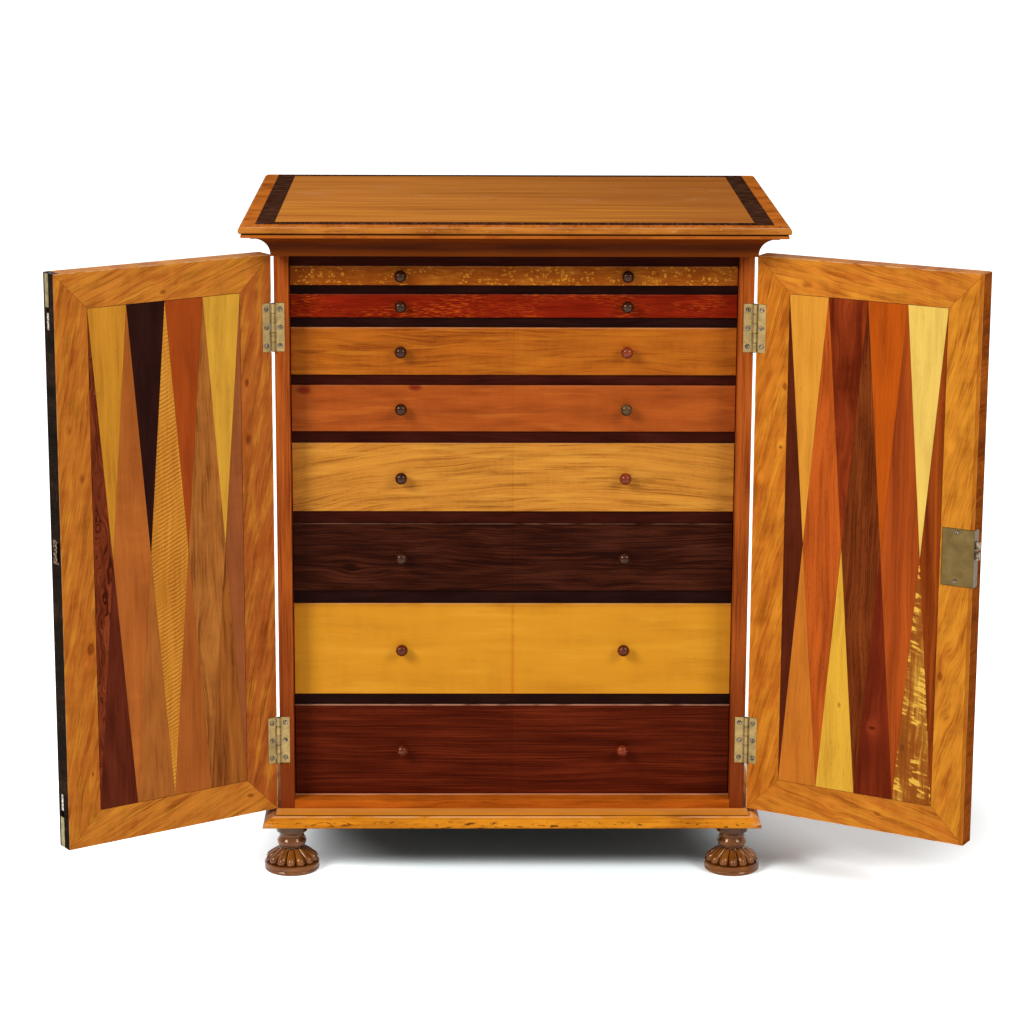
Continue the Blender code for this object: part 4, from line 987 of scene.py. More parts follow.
def top_moulding(finish, along, across, z, top):
    """Edge moulding of the top board, pale along its crown, which is rubbed and carries a painted highlight,
    with painted shade in its groove.
    """
    shade, _ = grain(finish, along, across, z, lines=0.5, line_mm=3, broad=0.5, seed=9.0)
    rubbed = finish.noise((along / 0.03, across / 0.003, 4.1), 3.0)
    # Pale crown: rubbed wear and a painted highlight along the lit top edge
    wear_and_highlight = z.band(top - 0.0014, top - 0.0005, 0.0004) * rubbed.rise(0.36, 0.60)
    colour = shade.tint((180, 108, 40), 0.5, 1.35).stain(wear_and_highlight * 0.45, 204, 158, 126)
    chips = finish.noise((along / 0.004, across / 0.002, z / 0.002), 1.0).rise(0.68, 0.74)
    colour = colour.stain(chips * 0.25, 226, 190, 150)
    quirk_low = top - THUMB_HEIGHT - TOP_QUIRK_HEIGHT
    # Painted shade in the groove under the thumb moulding
    groove = z.band(quirk_low, top - THUMB_HEIGHT + 0.0006, 0.0003)
    colour = colour.stain(groove * 0.75, 52, 22, 8)
    patch = finish.noise((along / 0.03, 0.3, 5.2)).rise(0.48, 0.6)
    below = finish.mix(patch * 0.6, paint(176, 90, 26), paint(140, 50, 14))
    return finish.mix(z.fall(quirk_low - 0.0004, quirk_low) * 0.8, colour, below)


def top_wood():
    """Veneered top: a golden field, a dark band round it, a crossbanded border and the edge moulding."""
    low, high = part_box("top_board")
    finish = Finish("top_board_wood")
    x, y, z = finish.place()
    from_side = (high.x - low.x) / 2 - abs(x - middle_x)
    from_front = y - low.y
    sideways = (from_side - from_front).fall(-MITRE_LINE, MITRE_LINE)
    along = finish.between(sideways, x, y)
    across = finish.between(sideways, y, x)
    field_colour, field, pores = top_field(finish, x, y, z)
    border, _ = grain(finish, across, along, z, lines=0.5, line_mm=5, stretch=8, broad=0.5, seed=7.0)
    dark, _ = grain(finish, across, along, z, lines=0.8, line_mm=2.0, stretch=9, broad=0.3, seed=8.0)
    inside_border = inlay(from_side, from_front, BORDER_SIDE, BORDER_FRONT)
    inside_band = inlay(from_side, from_front, BAND_SIDE, BAND_FRONT)
    inside_band = inside_band * y.fall(high.y - BAND_BACK - CUT_LINE, high.y - BAND_BACK)
    colour = finish.mix(inside_border, border.tint((204, 112, 40), 0.45, 1.3),
                        dark.tint((70, 39, 25), 0.40, 2.6))
    colour = finish.mix(inside_band, colour, field_colour)
    moulding = top_moulding(finish, along, across, z, high.z)
    colour = finish.mix(z.fall(high.z - 0.0006, high.z - 0.0003), colour, moulding)
    return finish.surface(colour, 0.42 + pores * 0.1, field, 0.04, Specular_IOR_Level=0.0)


def make_top_board():
    low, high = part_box("top_board")
    board = moulded_board("top_board_moulded", top_outline(low.z, high.z), TOP_FRONT, high.y)
    settle(board, "carcass", "top_wood", top_wood(), "top_board")


def make_cornice():
    low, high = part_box("cornice")
    lower = (CORNICE_LOWER, low.z + CORNICE_FILLET)
    upper = (CORNICE_UPPER, high.z - CORNICE_FILLET)
    outline = [(CORNICE_LOWER, low.z), lower, *quarter(lower, upper, False), upper, (CORNICE_UPPER, high.z)]
    cornice = moulded_board("cornice_moulded", outline, CORNICE_FRONT, carcass_back)
    front, back = front_edge - SEAT_GAP, carcass_back + CUT_OVERRUN
    core = started("cornice_core", bpy.ops.mesh.primitive_cube_add,
                   (middle_x, (front + back) / 2, (low.z + high.z) / 2),
                   (2 * (half_width + SEAT_GAP), back - front, high.z - low.z + 2 * CUT_OVERRUN))
    bpy.ops.object.mode_set(mode="OBJECT")
    apply_modifier(cornice, "BOOLEAN", operation="DIFFERENCE", solver="EXACT", object=core)
    discard(core)
    only(cornice)
    bpy.ops.object.shade_smooth_by_angle(angle=SHARP_ANGLE)
    settle(cornice, "carcass", "cornice_wood", cornice_wood(), "cornice")


def moulding_grain(finish, x, across, z, seed):
    return grain(finish, x, across, z, line_mm=2.6, lines=0.45, broad=0.6, flow_mm=4, stretch=34, seed=seed)


def cornice_wood():
    """Deep brown cornice, warmer along its lower edge and where it stands out."""
    low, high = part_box("cornice")
    finish = Finish("cornice_brown")
    x, y, z = finish.place()
    shade, pores = moulding_grain(finish, x, z - y * 0.5, z, 6.0)
    colour = shade.tint((88, 35, 6), 0.5, 1.5)
    colour = colour.stain(z.fall(low.z + 0.002, low.z + 0.009) * 0.45, 156, 76, 20)
    colour = colour.stain(z.rise(low.z + 0.011, high.z - 0.002) * 0.5, 150, 70, 18)
    return finish.waxed(colour, shade, pores, 0.03, 0.38)


def make_base():
    low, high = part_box("base_board")
    fillet_low = high.z - BASE_FILLET
    bottom = (BASE_PROJECTION, low.z)
    ovolo_top = (BASE_LEDGE - BASE_QUIRK, fillet_low - BASE_QUIRK)
    outline = [bottom, *quarter(bottom, ovolo_top, False), ovolo_top, (BASE_LEDGE - BASE_QUIRK, fillet_low),
               (BASE_LEDGE, fillet_low), (BASE_LEDGE, high.z)]
    base = moulded_board("base_moulded", outline, BASE_FRONT, high.y)
    settle(base, "carcass", "base_wood", base_wood(), "base_board")


def base_wood():
    """Golden base moulding with a rubbed ledge, a pale upper edge on its ovolo, worn and with a painted
    highlight, and nicks along its lower edge; painted shade darkens its groove, the lower part of its ovolo,
    its left return and its underside.
    """
    low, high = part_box("base_board")
    finish = Finish("base_gold")
    x, y, z = finish.place()
    shade, pores = moulding_grain(finish, x, z - y * 0.6, z, 7.0)
    colour = shade.tint((214, 138, 31), 0.5, 1.3)
    rubbed = finish.noise((x / 0.035, y / 0.01, z / 0.006), 3.0)
    fillet_low = high.z - BASE_FILLET
    ledge = z.rise(fillet_low + 0.0002, fillet_low + 0.0005)
    colour = colour.stain(ledge * 0.6, 212, 142, 50)
    board_front = front_edge - BASE_FRONT
    ledge_back = (y + (rubbed - 0.5) * 0.004).rise(board_front - 0.0012, board_front)
    colour = colour.stain(ledge_back * ledge * 0.2, 226, 160, 104)
    ovolo_top = fillet_low - BASE_QUIRK
    # Painted shade: the ovolo darker and redder towards its lower edge
    colour = finish.mix(z.rise(low.z, ovolo_top) * 0.4, colour.stain(0.30, 180, 88, 24), colour)
    # Pale upper edge of the ovolo: rubbed wear and a painted highlight
    wear_and_highlight = z.band(ovolo_top - 0.0007, ovolo_top - 0.0001, 0.0002) * rubbed.rise(0.34, 0.56)
    colour = colour.stain(wear_and_highlight * 0.6, 240, 190, 140)
    # Painted shade in the groove under the ledge
    colour = colour.stain(z.band(ovolo_top, fillet_low, 0.0003) * 0.8, 70, 26, 8)
    corner = abs(x - middle_x).rise(half_width + 0.002, half_width + BASE_PROJECTION)
    colour = colour.stain(corner * rubbed.rise(0.40, 0.56) * 0.6, 222, 168, 124)
    nicks = finish.noise((x / 0.009, 0.2, z / 0.0022), 4.0, 0.65)
    nicks = nicks.rise(0.57, 0.64) * z.fall(low.z + 0.0045, low.z + 0.0080)
    colour = colour.stain(nicks * 0.85, 66, 26, 8)
    # Painted shade on the left return
    left_return_shade = ((y - low.y) - (x - low.x)).rise(0.0, 0.001)
    left_return_shade = left_return_shade * (x - low.x).fall(BASE_PROJECTION, BASE_PROJECTION + 0.002)
    colour = colour.stain(left_return_shade * (1 - ledge) * 0.6, 96, 66, 52)
    # Underside nearly black: bare wood, and painted shade that keeps the shadow under the cabinet dark
    colour = colour.stain(z.fall(low.z + 0.0001, low.z + 0.0003), 34, 22, 16)
    return finish.surface(colour, WAX + pores * PORE_DULLNESS, shade - nicks, 0.06, Specular_IOR_Level=0.01)


# Rows of a foot from the floor up. On the disc: share of its radius, height. On the lobes: share of their
# height, share of their radius, depth of the hollows. On the bead: share of its swell, share of its height
FOOT_DISC = ((0.965, 0.0), (1.0, 0.0012), (1.0, 0.0030), (0.985, 0.0036), (0.985, 0.0044), (1.0, 0.0050),
             (1.0, 0.0082), (0.97, 0.0092))
FOOT_BULB = ((0.00, 0.94, 0.8), (0.03, 0.965, 1.0), (0.07, 0.985, 1.15), (0.13, 1.0, 1.2),
             (0.21, 1.0, 1.2), (0.32, 0.98, 1.15), (0.44, 0.93, 1.1), (0.53, 0.865, 1.05),
             (0.62, 0.79, 1.0), (0.71, 0.715, 0.95), (0.79, 0.64, 0.9), (0.87, 0.56, 0.8),
             (0.94, 0.49, 0.5), (1.0, 0.445, 0.0))
FOOT_BEAD = ((0.40, 0.02), (0.62, 0.08), (0.76, 0.18), (0.86, 0.34), (0.95, 0.52), (1.0, 0.66), (1.0, 0.74),
             (0.95, 0.80), (0.86, 0.88))


def foot_rows():
    """Radius and height of a foot's rows, from the floor up."""
    swell = FOOT_BEAD_RADIUS - FOOT_NECK_RADIUS
    bead_top = FOOT_BEAD_LOW + FOOT_BEAD_HEIGHT
    rows = [(FOOT_DISC_RADIUS * share, level) for share, level in FOOT_DISC]
    for share, radius, _ in FOOT_BULB:
        rows.append((FOOT_LOBE_RADIUS * radius, FOOT_DISC_HEIGHT + FOOT_LOBE_HEIGHT * share))
    rows.append((FOOT_NECK_RADIUS, FOOT_BEAD_LOW))
    for share, rise in FOOT_BEAD:
        rows.append((FOOT_NECK_RADIUS + swell * share, FOOT_BEAD_LOW + FOOT_BEAD_HEIGHT * rise))
    for count in range(NECK_ROWS):
        share = count / (NECK_ROWS - 1)
        hollow = (1 - share) ** 2.2 * 0.70 * swell
        flare = share ** 5 * (FOOT_COLLAR_RADIUS - FOOT_NECK_RADIUS)
        rows.append((FOOT_NECK_RADIUS + hollow + flare, bead_top + (FOOT_COLLAR_LOW - bead_top) * share))
    rows.append((FOOT_COLLAR_RADIUS, FOOT_HEIGHT))
    return rows


def foot_wood():
    """Polished brown wood, with painted shade in the hollows between the lobes, under the bead, where the
    lobes sit on the disc and under the base.
    """
    finish = Finish("foot_wood_polished")
    x, y, z = finish.place()
    shade, pores = grain(finish, x, z, y, lines=0.5, line_mm=3, stretch=7, broad=0.5, seed=3.3)
    front, rear = (sum(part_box(f"foot_{end}_right"), Vector()) / 2 for end in ("front", "rear"))
    middle_y = (front.y + rear.y) / 2
    aside = abs(x - middle_x) - (front.x - middle_x)
    behind = abs(y - middle_y) - (middle_y - front.y)
    turn = finish.maths("ARCTAN2", behind, aside)
    lobe = abs(finish.maths("SINE", turn * (FOOT_LOBES / 2)))
    wide = z.rise(FOOT_DISC_HEIGHT, FOOT_BEAD_LOW) * 0.34 + 0.20
    # Painted shade in the hollows, under the bead, at the lobes' seat and under the base
    hollow = lobe.fall(0.04, wide) * z.band(FOOT_DISC_HEIGHT, FOOT_BEAD_LOW, 0.0004)
    under_bead = z.band(FOOT_BEAD_LOW - 0.0022, FOOT_BEAD_LOW + 0.0004, 0.0006)
    seat = z.band(FOOT_DISC_HEIGHT - 0.0001, FOOT_DISC_HEIGHT + 0.0006, 0.0002)
    collar = z.rise(FOOT_COLLAR_LOW - 0.004, FOOT_COLLAR_LOW + 0.004) * 0.7
    shaded = larger(larger(hollow, under_bead), larger(seat, collar))
    colour = shade.tint((122, 66, 18), 0.5, 1.5).stain(shaded * 0.75, 26, 14, 6)
    return finish.surface(colour, 0.10 + pores * 0.06, shade, 0.03, Specular_IOR_Level=0.45,
                          Specular_Tint=WARM_GLOSS)


def make_feet():
    """Turned foot with fourteen rounded lobes, carved once and set at the four corners."""
    sides = FOOT_LOBES * COLUMNS_PER_LOBE
    foot = turned_piece("foot_turned", foot_rows(), sides)
    for share, _, relief in FOOT_BULB[:-1]:
        level = FOOT_DISC_HEIGHT + FOOT_LOBE_HEIGHT * share
        for column in range(COLUMNS_PER_LOBE // 2):
            turn = math.tau * column / sides
            valley = 1 - abs(math.sin(turn * FOOT_LOBES / 2)) ** LOBE_ROUNDNESS

            def in_column(vertex):
                if abs(vertex.co.z - level) > TINY:
                    return False
                count = round(math.atan2(vertex.co.y, vertex.co.x) / math.tau * sides) % COLUMNS_PER_LOBE
                return min(count, COLUMNS_PER_LOBE - count) == column

            pick(foot, "VERT", in_column)
            reach = 1 - FOOT_LOBE_DEPTH * relief * valley
            bpy.ops.transform.resize(value=(reach, reach, 1.0), center_override=(0.0, 0.0, level))
    finish_shape(foot)
    finish = foot_wood()
    for place in ("front_left", "front_right", "rear_left", "rear_right"):
        middle = sum(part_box(f"foot_{place}"), Vector()) / 2
        made = placed_copy(foot, f"foot_turned_{place}", Matrix.Translation((middle.x, middle.y, 0.0)))
        settle(made, "carcass", "foot_wood", finish, f"foot_{place}")
    discard(foot)


# Fronts of the drawers: middle colour, how dark and how pale it goes (or its palest colour), and its figure
DRAWER_WOODS = {
    1: ((166, 82, 15), 0.55, (226, 148, 48), dict(line_mm=3, stretch=14, lines=0.2, broad=0.25, fibre=0.3,
        flecks=0.7, flow_mm=6, reach_mm=40, seed=1.0)),
    2: ((122, 26, 7), 0.5, 1.6, dict(line_mm=1.5, stretch=34, lines=0.45, broad=0.3, fibre=0.6, seed=2.0)),
    3: ((172, 91, 21), 0.55, 1.25, dict(line_mm=2.2, stretch=40, lines=0.3, broad=0.35, veins=0.35,
        vein_mm=3.6, flow_mm=14, reach_mm=150, curl=0.1, curl_mm=5, seed=3.0)),
    4: ((162, 76, 24), 0.6, 1.3, dict(line_mm=3, lines=0.25, broad=0.4, fibre=0.4, pores=0.1, curl=0.08,
        curl_mm=8, knots=((-0.2165, 0.0435, 0.008, 1.2), (-0.1019, 0.047, 0.007, 1.6)), seed=4.0)),
    5: ((198, 128, 45), 0.5, 1.25, dict(line_mm=2.4, stretch=50, lines=0.32, broad=0.4, veins=0.3,
        vein_mm=5, flow_mm=10, reach_mm=160, sweep=(0.04, -0.36), curl=0.06, curl_mm=3.4, seed=5.0)),
    6: ((56, 21, 9), 0.4, 2.0, dict(line_mm=2.0, stretch=40, lines=0.6, broad=0.5, veins=0.35, vein_mm=7,
        flow_mm=12, fibre=0.9, knots=((-0.1705, 0.0256, 0.011, 0.6),), seed=6.0)),
    7: ((214, 143, 33), 0.7, 1.12, dict(line_mm=6, lines=0.15, broad=0.3, fibre=0.2, pores=0.06, curl=0.1,
        curl_mm=12, seed=7.0)),
    8: ((83, 25, 7), 0.5, 1.75, dict(line_mm=1.8, stretch=80, lines=0.8, broad=0.4, fibre=0.8, flow_mm=4,
        seed=8.0)),
}
# A second colour that runs through some fronts: colour, strength, length and width of its streaks
DRAWER_STREAKS = {
    2: ((222, 96, 20), 0.75, 9.0, 0.8),
    3: ((208, 130, 34), 0.36, 80.0, 7.0),
    4: ((192, 102, 36), 0.50, 60.0, 7.0),
    5: ((226, 162, 62), 0.45, 80.0, 6.0),
    6: ((26, 8, 5), 0.60, 90.0, 3.5),
    7: ((228, 162, 48), 0.40, 90.0, 9.0),
    8: ((56, 14, 5), 0.55, 160.0, 1.6),
}
# Strength of the pale top arris of each front: rubbed wear and a painted highlight along the lit top edge
ARRIS_WEAR_AND_HIGHLIGHT = {2: 0.1, 4: 0.15, 5: 0.3, 6: 0.2, 8: 0.85}
TAIL_PITCH = 0.018
TAIL_SHARE = 0.30
TAIL_SLOPE = 0.16
LAP = 0.003
KNOB_WOODS = {"rosewood": (54, 22, 10), "redwood": (120, 44, 18), "olivewood": (84, 56, 28),
              "warm_rosewood": (92, 32, 10)}
UNLIKE_KNOBS = {(3, "right"): "redwood", (4, "right"): "olivewood", (5, "right"): "redwood",
                (7, "left"): "warm_rosewood", (7, "right"): "warm_rosewood", (8, "left"): "warm_rosewood",
                (8, "right"): "redwood"}


def drawer_front(finish, number, x, y, z, top):
    """Figured veneer of a drawer's front, matched at its middle."""
    middle, dark, pale, figure = DRAWER_WOODS[number]
    shade, pores = grain(finish, x, z, y * 0.2, **figure)
    shade = shade + x.rise(0.0, 0.0004) * 0.05 - x.band(-0.0004, 0.0004, 0.0002) * 0.12
    if number == 7:
        shade = shade - z.rise(top - 0.006, top) * 0.3
    colour = shade.tint(middle, dark, pale)
    if number == 7:
        colour = colour.stain(x.band(-0.0012, 0.0012, 0.0022) * 0.55, 196, 92, 14)
    if number in DRAWER_STREAKS:
        second, strength, long_mm, wide_mm = DRAWER_STREAKS[number]
        streak = finish.noise((x / (long_mm * MM), z / (wide_mm * MM), number * 3.1), 2.0, 0.6)
        place = finish.noise((x / 0.09, z / 0.03, number * 2.3), 1.0)
        colour = colour.stain(streak.rise(0.50, 0.68) * place.rise(0.36, 0.60) * strength, *second)
    if number == 4:
        _, hearts = part_round_knots(finish, x, z, figure["knots"])
        colour = colour.stain(hearts * 0.55, 122, 16, 6)
    return colour, shade, pores


def dovetails(finish, x, y, z, top, half):
    """1 on the ends of the tails, where they show on a drawer's side beside its front."""
    pitch = top / max(1, round(top / TAIL_PITCH))
    from_tail = abs(finish.maths("FRACT", z / pitch) - 0.5) * pitch
    outer = abs(x).rise(half - 0.0003, half - 0.0002)
    tail_half = pitch * TAIL_SHARE + (DRAWER_FRONT - y) * TAIL_SLOPE
    return (tail_half - from_tail).rise(-HAIR, HAIR) * y.rise(LAP - HAIR, LAP + HAIR) * outer


def drawer_wood(number):
    """Veneered front, plainer lining, dovetails where the sides meet the front, and a pale top arris, worn
    and with a painted highlight.
    """
    low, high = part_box(f"drawer_{number}")
    middle = DRAWER_WOODS[number][0]
    finish = Finish(f"drawer_{number}_figured")
    x, y, z = finish.place(Matrix.Translation((middle_x, low.y, low.z)))
    top = high.z - low.z
    front_colour, shade, pores = drawer_front(finish, number, x, y, z, top)
    lining, _ = grain(finish, y, z, x, line_mm=5, lines=0.4, seed=4.4 + number)
    behind = y.rise(DRAWER_FRONT - HAIR, DRAWER_FRONT + HAIR)
    lined = larger(behind, dovetails(finish, x, y, z, top, (high.x - low.x) / 2))
    colour = finish.mix(lined, front_colour, lining.tint((176, 122, 72), 0.6, 1.25))
    # Pale top arris: rubbed wear and a painted highlight
    rubbed = finish.noise((x / 0.03, y / 0.01, number * 1.3), 3.0)
    arris = z.rise(top - 0.0012, top - 0.0006) * rubbed.rise(0.30, 0.60) * (1 - lined)
    arris_wear_and_highlight_tone = finish.mix(0.5, paint(*middle), paint(236, 176, 140))
    colour = finish.mix(arris * ARRIS_WEAR_AND_HIGHLIGHT.get(number, 0.5), colour, arris_wear_and_highlight_tone)
    return finish.surface(colour, 0.35 + pores * 0.12 + lined * 0.2, shade, 0.04,
                          Specular_IOR_Level=0.05 if max(middle) > 140 else 0.02)


def knob_rows():
    """Radius and distance from the drawer's face, from the foot to the dome."""
    rows = [(KNOB_FOOT_RADIUS, SEAT_GAP), (KNOB_FOOT_RADIUS, 0.0009), (KNOB_FOOT_RADIUS * 0.93, 0.0012),
            (KNOB_NECK_RADIUS, 0.0020), (KNOB_NECK_RADIUS, 0.0034), (KNOB_NECK_RADIUS * 1.15, 0.0042),
            (KNOB_HEAD_RADIUS * 0.80, 0.0050), (KNOB_HEAD_RADIUS * 0.95, 0.0057)]
    for count in range(KNOB_DOME_ROWS):
        turn = math.pi / 2 * count / KNOB_DOME_ROWS
        rows.append((KNOB_HEAD_RADIUS * math.cos(turn),
                     KNOB_RIM + (KNOB_PROJECTION - KNOB_RIM) * math.sin(turn)))
    return rows


def knob_wood(name, colour):
    """Dark, mottled and well polished turned wood."""
    finish = Finish(f"knob_{name}")
    x, y, z = finish.place()
    shade, pores = grain(finish, x, z, y, line_mm=1.8, stretch=3, flow_mm=2, reach_mm=20, lines=0.9, seed=1.9)
    speck = finish.noise((x / 0.0009, y / 0.0009, z / 0.0009))
    tint = shade.tint(colour, 0.35, 1.9).stain(speck.rise(0.60, 0.68) * 0.35, 128, 84, 48)
    return finish.surface(tint, 0.06 + pores * 0.05, shade, 0.02, Specular_IOR_Level=0.22,
                          Specular_Tint=WARM_GLOSS)


def dress_drawers():
    knob = finish_shape(turned_piece("knob_turned", knob_rows(), KNOB_SIDES))
    facing = Matrix.Rotation(math.pi / 2, 4, "X")
    woods = {name: knob_wood(name, colour) for name, colour in KNOB_WOODS.items()}
    for number in range(1, DRAWER_COUNT + 1):
        repaint(f"drawer_{number}", drawer_wood(number))
        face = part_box(f"drawer_{number}")[0].y
        for side in SIDES:
            node = f"drawer_{number}_knob_{side}"
            middle = sum(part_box(node), Vector()) / 2
            place = Matrix.Translation((middle.x, face, middle.z)) @ facing
            made = placed_copy(knob, f"knob_turned_{number}_{side}", place)
            finish = woods[UNLIKE_KNOBS.get((number, side), "rosewood")]
            settle(made, f"drawer_{number}_unit", "rosewood", finish, node)
    discard(knob)


# Brass and steel
KNUCKLE = 0.010
BARREL_RADIUS = 0.0033
HINGE_FROM_END = 0.05
LOCK_PLATE_LOW = (0.2113, 0.33815)
LOCK_PLATE_HIGH = (0.2458, 0.39765)
LOCK_SCREWS = ((0.2268, 0.3938), (0.2261, 0.3431))
SCREW_SIDES = 24
SCREW_RADIUS = 0.0026
SCREW_RIM = 0.0005
SCREW_SLOT = 0.0007
SCREW_SLOT_DEPTH = 0.00042
SCREW_THICKNESS = 0.0006
SCREW_PROUD = 0.00020
SCREW_DOME = 0.00025
HINGE_SCREW_DISTANCE = 0.0072
HINGE_SCREW_SPREAD = 0.0190
BOLT_PLATE_WIDTH = 0.0074
BOLT_PLATE_THICKNESS = 0.00036
BOLT_PLATE_RISE = 0.0004
BOLT_PLATE_IN = 0.0133
BOLT_PLATE_RIM = 0.0006
BOLT_PLATE_CROWN = 0.00004
BOLT_PLATE_ARRIS = 0.0001
BOLT_PLATES = {"top": (0.6225, 0.6560), "bottom": (0.0664, 0.0985)}


def brass(name, colour, contrast):
    """Old brass, dulled and greenish, brighter where it is rubbed, dark at the joints of the knuckles, with
    painted shade and dirt in the crease beside the barrel.
    """
    finish = Finish(name)
    x, y, z = finish.place()
    cloud = finish.noise((x / 0.008, y / 0.008, z / 0.008), 3.0, 0.55)
    spots = finish.noise((x / 0.0014, y / 0.0014, z / 0.0014))
    brushed = finish.noise((x / 0.0005, y / 0.0005, z / 0.02))
    shade = (cloud - 0.5) * (0.8 * contrast) + (spots - 0.5) * (0.5 * contrast) + 0.5
    pins = [doors[side].translation for side in SIDES]
    sideways = smaller(abs(x - pins[0].x), abs(x - pins[1].x))
    forward = y - pins[0].y
    from_pin = finish.maths("SQRT", sideways * sideways + forward * forward)
    barrel = from_pin.fall(BARREL_RADIUS - 0.0004, BARREL_RADIUS)
    turn = finish.maths("FRACT", (z - (door_low + HINGE_FROM_END)) / KNUCKLE + 0.5)
    joint = abs(turn - 0.5).fall(0.02, 0.05)
    tint = shade.metal((0.25, 0.5, 0.8), colour, 0.62, 1.3).stain(joint * barrel * 0.8, 48, 38, 22)
    # Painted shade and dirt in the crease where a leaf meets the barrel
    crease_shade_and_dirt = from_pin.band(BARREL_RADIUS - 0.0002, BARREL_RADIUS + 0.0003, 0.0002)
    return finish.surface(tint.stain(crease_shade_and_dirt * 0.6, 62, 50, 30), 0.42 + (spots - 0.5) * 0.4,
                          spots + brushed * 0.5, 0.03, Metallic=0.7, Specular_IOR_Level=0.3)


def steel(name, colour):
    finish = Finish(name)
    x, y, z = finish.place()
    cloud = finish.noise((x / 0.0022, y / 0.0022, z / 0.0022), 3.0, 0.6)
    scratch = finish.noise((x / 0.006, y / 0.006, z / 0.0004))
    return finish.surface(cloud.metal((0.3, 0.5, 0.7), colour, 0.5, 1.6), 0.36 + (scratch - 0.5) * 0.4,
                          scratch, 0.03, Metallic=0.8, Specular_IOR_Level=0.3)


def lock_brass():
    """Smooth greenish brass of the lock, darker along the outline of its plate."""
    finish = Finish("lock_brass")
    run, out, up = finish.place(doors["right"])
    cloud = finish.noise((run / 0.012, out / 0.012, up / 0.012), 3.0, 0.5)
    spots = finish.noise((run / 0.0016, out / 0.0016, up / 0.0016))
    shade = (cloud - 0.5) * 0.6 + (spots - 0.5) * 0.25 + 0.5
    tint = shade.ramp((0.25, 0.5, 0.8), [paint(74, 56, 26), paint(96, 76, 38), paint(118, 97, 55)])
    low_run, low_up = LOCK_PLATE_LOW
    high_run, high_up = LOCK_PLATE_HIGH
    beside = smaller(run - low_run, high_run - run)
    above = smaller(up - low_up, high_up - up)
    rim = smaller(beside, above).fall(0.0004, 0.0011)
    return finish.surface(tint.stain(rim * 0.55, 74, 52, 24), 0.40 + (spots - 0.5) * 0.3, spots, 0.02,
                          Metallic=0.7, Specular_IOR_Level=0.3)


def screw_head(face_metal, rim_dirt_and_shade_metal):
    """Slotted countersunk head on the origin, its face to +Z, its rim and slot dark with dirt and painted
    shade.
    """
    nothing_selected()
    bpy.ops.mesh.primitive_circle_add(vertices=SCREW_SIDES, radius=SCREW_RADIUS, fill_type="NGON")
    head = begin("screw_head")
    bpy.ops.mesh.inset(thickness=SCREW_RIM, depth=SCREW_DOME)
    for side in (-1, 1):
        bpy.ops.mesh.select_all(action="SELECT")
        bpy.ops.mesh.bisect(plane_co=(side * SCREW_SLOT / 2, 0.0, 0.0), plane_no=(1.0, 0.0, 0.0))
    pick(head, "FACE", lambda face: abs(face.calc_center_median().x) < SCREW_SLOT / 4)
    raised(-SCREW_SLOT_DEPTH)
    pick(head, "EDGE", lambda edge: edge.is_boundary)
    raised(-SCREW_THICKNESS)
    head.data.materials.append(face_metal)
    head.data.materials.append(rim_dirt_and_shade_metal)

    # Rim and slot get the dark metal: dirt and painted shade in the countersink and the slot
    def in_rim_or_slot(face):
        middle = face.calc_center_median()
        return middle.to_2d().length > SCREW_RADIUS - SCREW_RIM or abs(middle.x) < SCREW_SLOT / 1.9

    dyed(head, in_rim_or_slot)
    return finish_shape(head)


def screw(head, place, turned):
    """Copy of a screw at a place, its slot turned."""
    return placed_copy(head, "screw", place @ Matrix.Rotation(turned, 4, "Z"))


def door_screw(head, side, run, level, turned):
    """Screw in the inner face of a door."""
    place = doors[side] @ Matrix.Translation((run, SCREW_PROUD - DOOR_HALF_GAP, level))
    return screw(head, place @ Matrix.Rotation(-math.pi / 2, 4, "X"), turned)


def dress_hinge(side, height, metal, head):
    """Brass on both leaves of a hinge, and three screws in each."""
    hinge = f"hinge_{height}_{side}"
    repaint(f"{hinge}_fixed_leaf", metal)
    repaint(f"{hinge}_door_leaf", metal)
    low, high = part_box(f"{hinge}_fixed_leaf")
    middle = (low.z + high.z) / 2
    hand = 1.0 if side == "left" else -1.0
    across = doors[side].translation.x + hand * HINGE_SCREW_DISTANCE
    to_front = Matrix.Rotation(math.pi / 2, 4, "X")
    on_carcass, on_door = [], []
    for count in (-1, 0, 1):
        level = middle + count * HINGE_SCREW_SPREAD
        place = Matrix.Translation((across, front_edge - SCREW_PROUD, level)) @ to_front
        on_carcass.append(screw(head, place, 0.7 + 1.9 * count + middle))
        on_door.append(door_screw(head, side, HINGE_SCREW_DISTANCE, level, 0.3 + 1.3 * count + middle))
    settle(joined(on_carcass, f"screws_{height}_{side}_carcass"), "carcass", "brass", None)
    settle(joined(on_door, f"screws_{height}_{side}_door"), f"{side}_door", "brass", None)


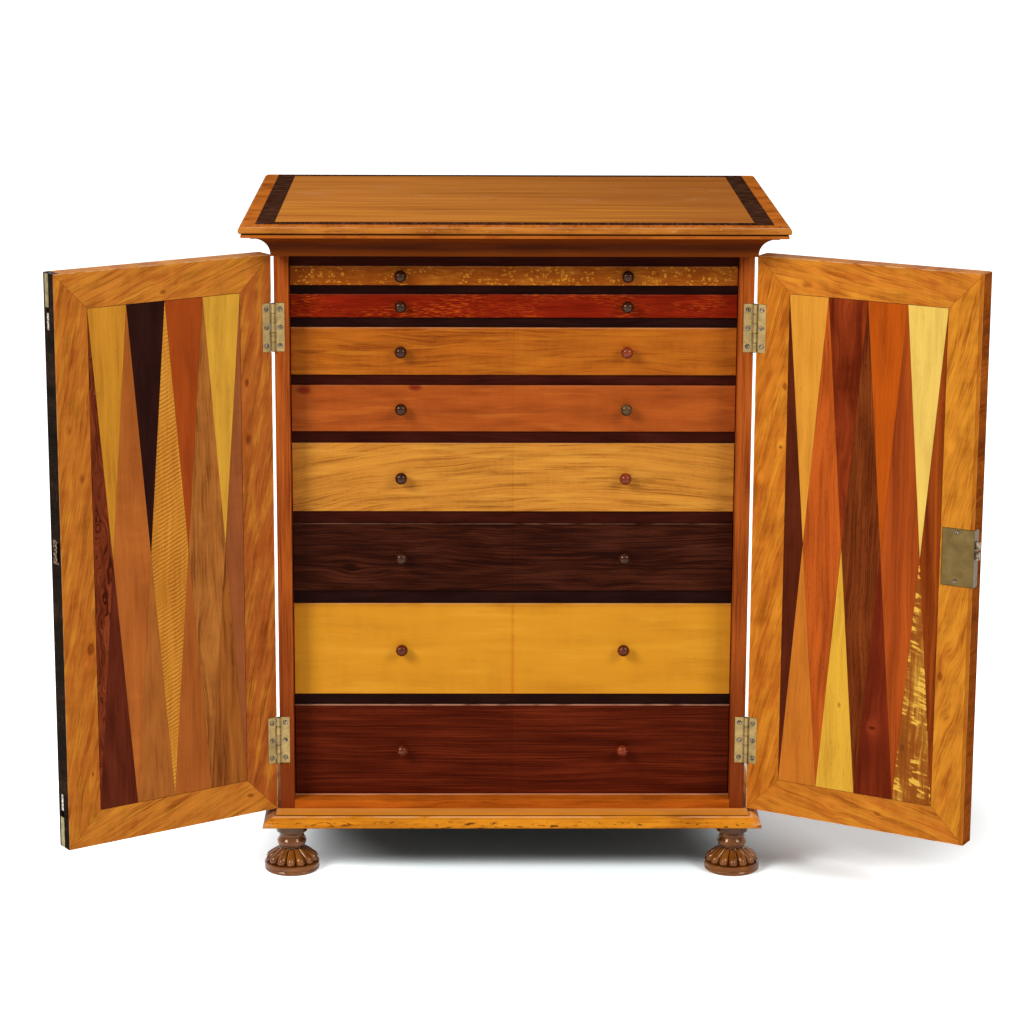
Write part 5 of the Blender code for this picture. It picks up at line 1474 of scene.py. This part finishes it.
def make_bolt_plates(metal):
    """Bare brass plates let in over the flush bolts in the left door's edge."""
    for word, (low, high) in BOLT_PLATES.items():
        plate = started(f"bolt_plate_{word}", bpy.ops.mesh.primitive_plane_add,
                        (DOOR_FREE_EDGE + BOLT_PLATE_RISE, -DOOR_HALF_GAP - BOLT_PLATE_IN, (low + high) / 2),
                        (1.0, BOLT_PLATE_WIDTH, high - low), rotation=(0.0, math.pi / 2, 0.0))
        bpy.ops.mesh.inset(thickness=BOLT_PLATE_RIM, depth=BOLT_PLATE_CROWN)
        bpy.ops.object.mode_set(mode="OBJECT")
        apply_modifier(plate, "SOLIDIFY", thickness=BOLT_PLATE_THICKNESS, offset=-1.0)
        apply_modifier(plate, "BEVEL", width=BOLT_PLATE_ARRIS, segments=2, limit_method="ANGLE")
        plate.data.transform(doors["left"])
        settle(plate, "left_door", "brass", metal)


def dress_fittings():
    head = screw_head(steel("worn_screws", (112, 98, 84)), steel("screw_rims_dirt_and_shade", (52, 42, 32)))
    plate_metal = brass("aged_brass_plates", (146, 122, 76), 0.6)
    for side in SIDES:
        for height in ("upper", "lower"):
            dress_hinge(side, height, plate_metal, head)
    lock_screws = [door_screw(head, "right", run, level, 0.5 + run * 40) for run, level in LOCK_SCREWS]
    settle(joined(lock_screws, "screws_lock"), "right_door", "brass", None)
    discard(head)
    make_bolt_plates(brass("bolt_plate_brass", (128, 112, 72), 1.3))
    repaint("lock_case", lock_brass())
    repaint("lock_bolts", steel("worn_link_bolts", (112, 98, 80)))
    bolt_metal = steel("worn_bolts", (150, 140, 126))
    repaint("flush_bolt_top", bolt_metal)
    repaint("flush_bolt_bottom", bolt_metal)


def dress_doors():
    for side in SIDES:
        repaint(f"door_{side}_frame", frame_wood(side))
        repaint(f"door_{side}_panel", panel_back_wood(side))
        make_parquetry(side)


make_camera()
make_studio()
dress_carcass()
make_top_board()
make_cornice()
make_base()
make_feet()
dress_drawers()
dress_doors()
dress_fittings()
bpy.context.scene.view_settings.view_transform = "Standard"
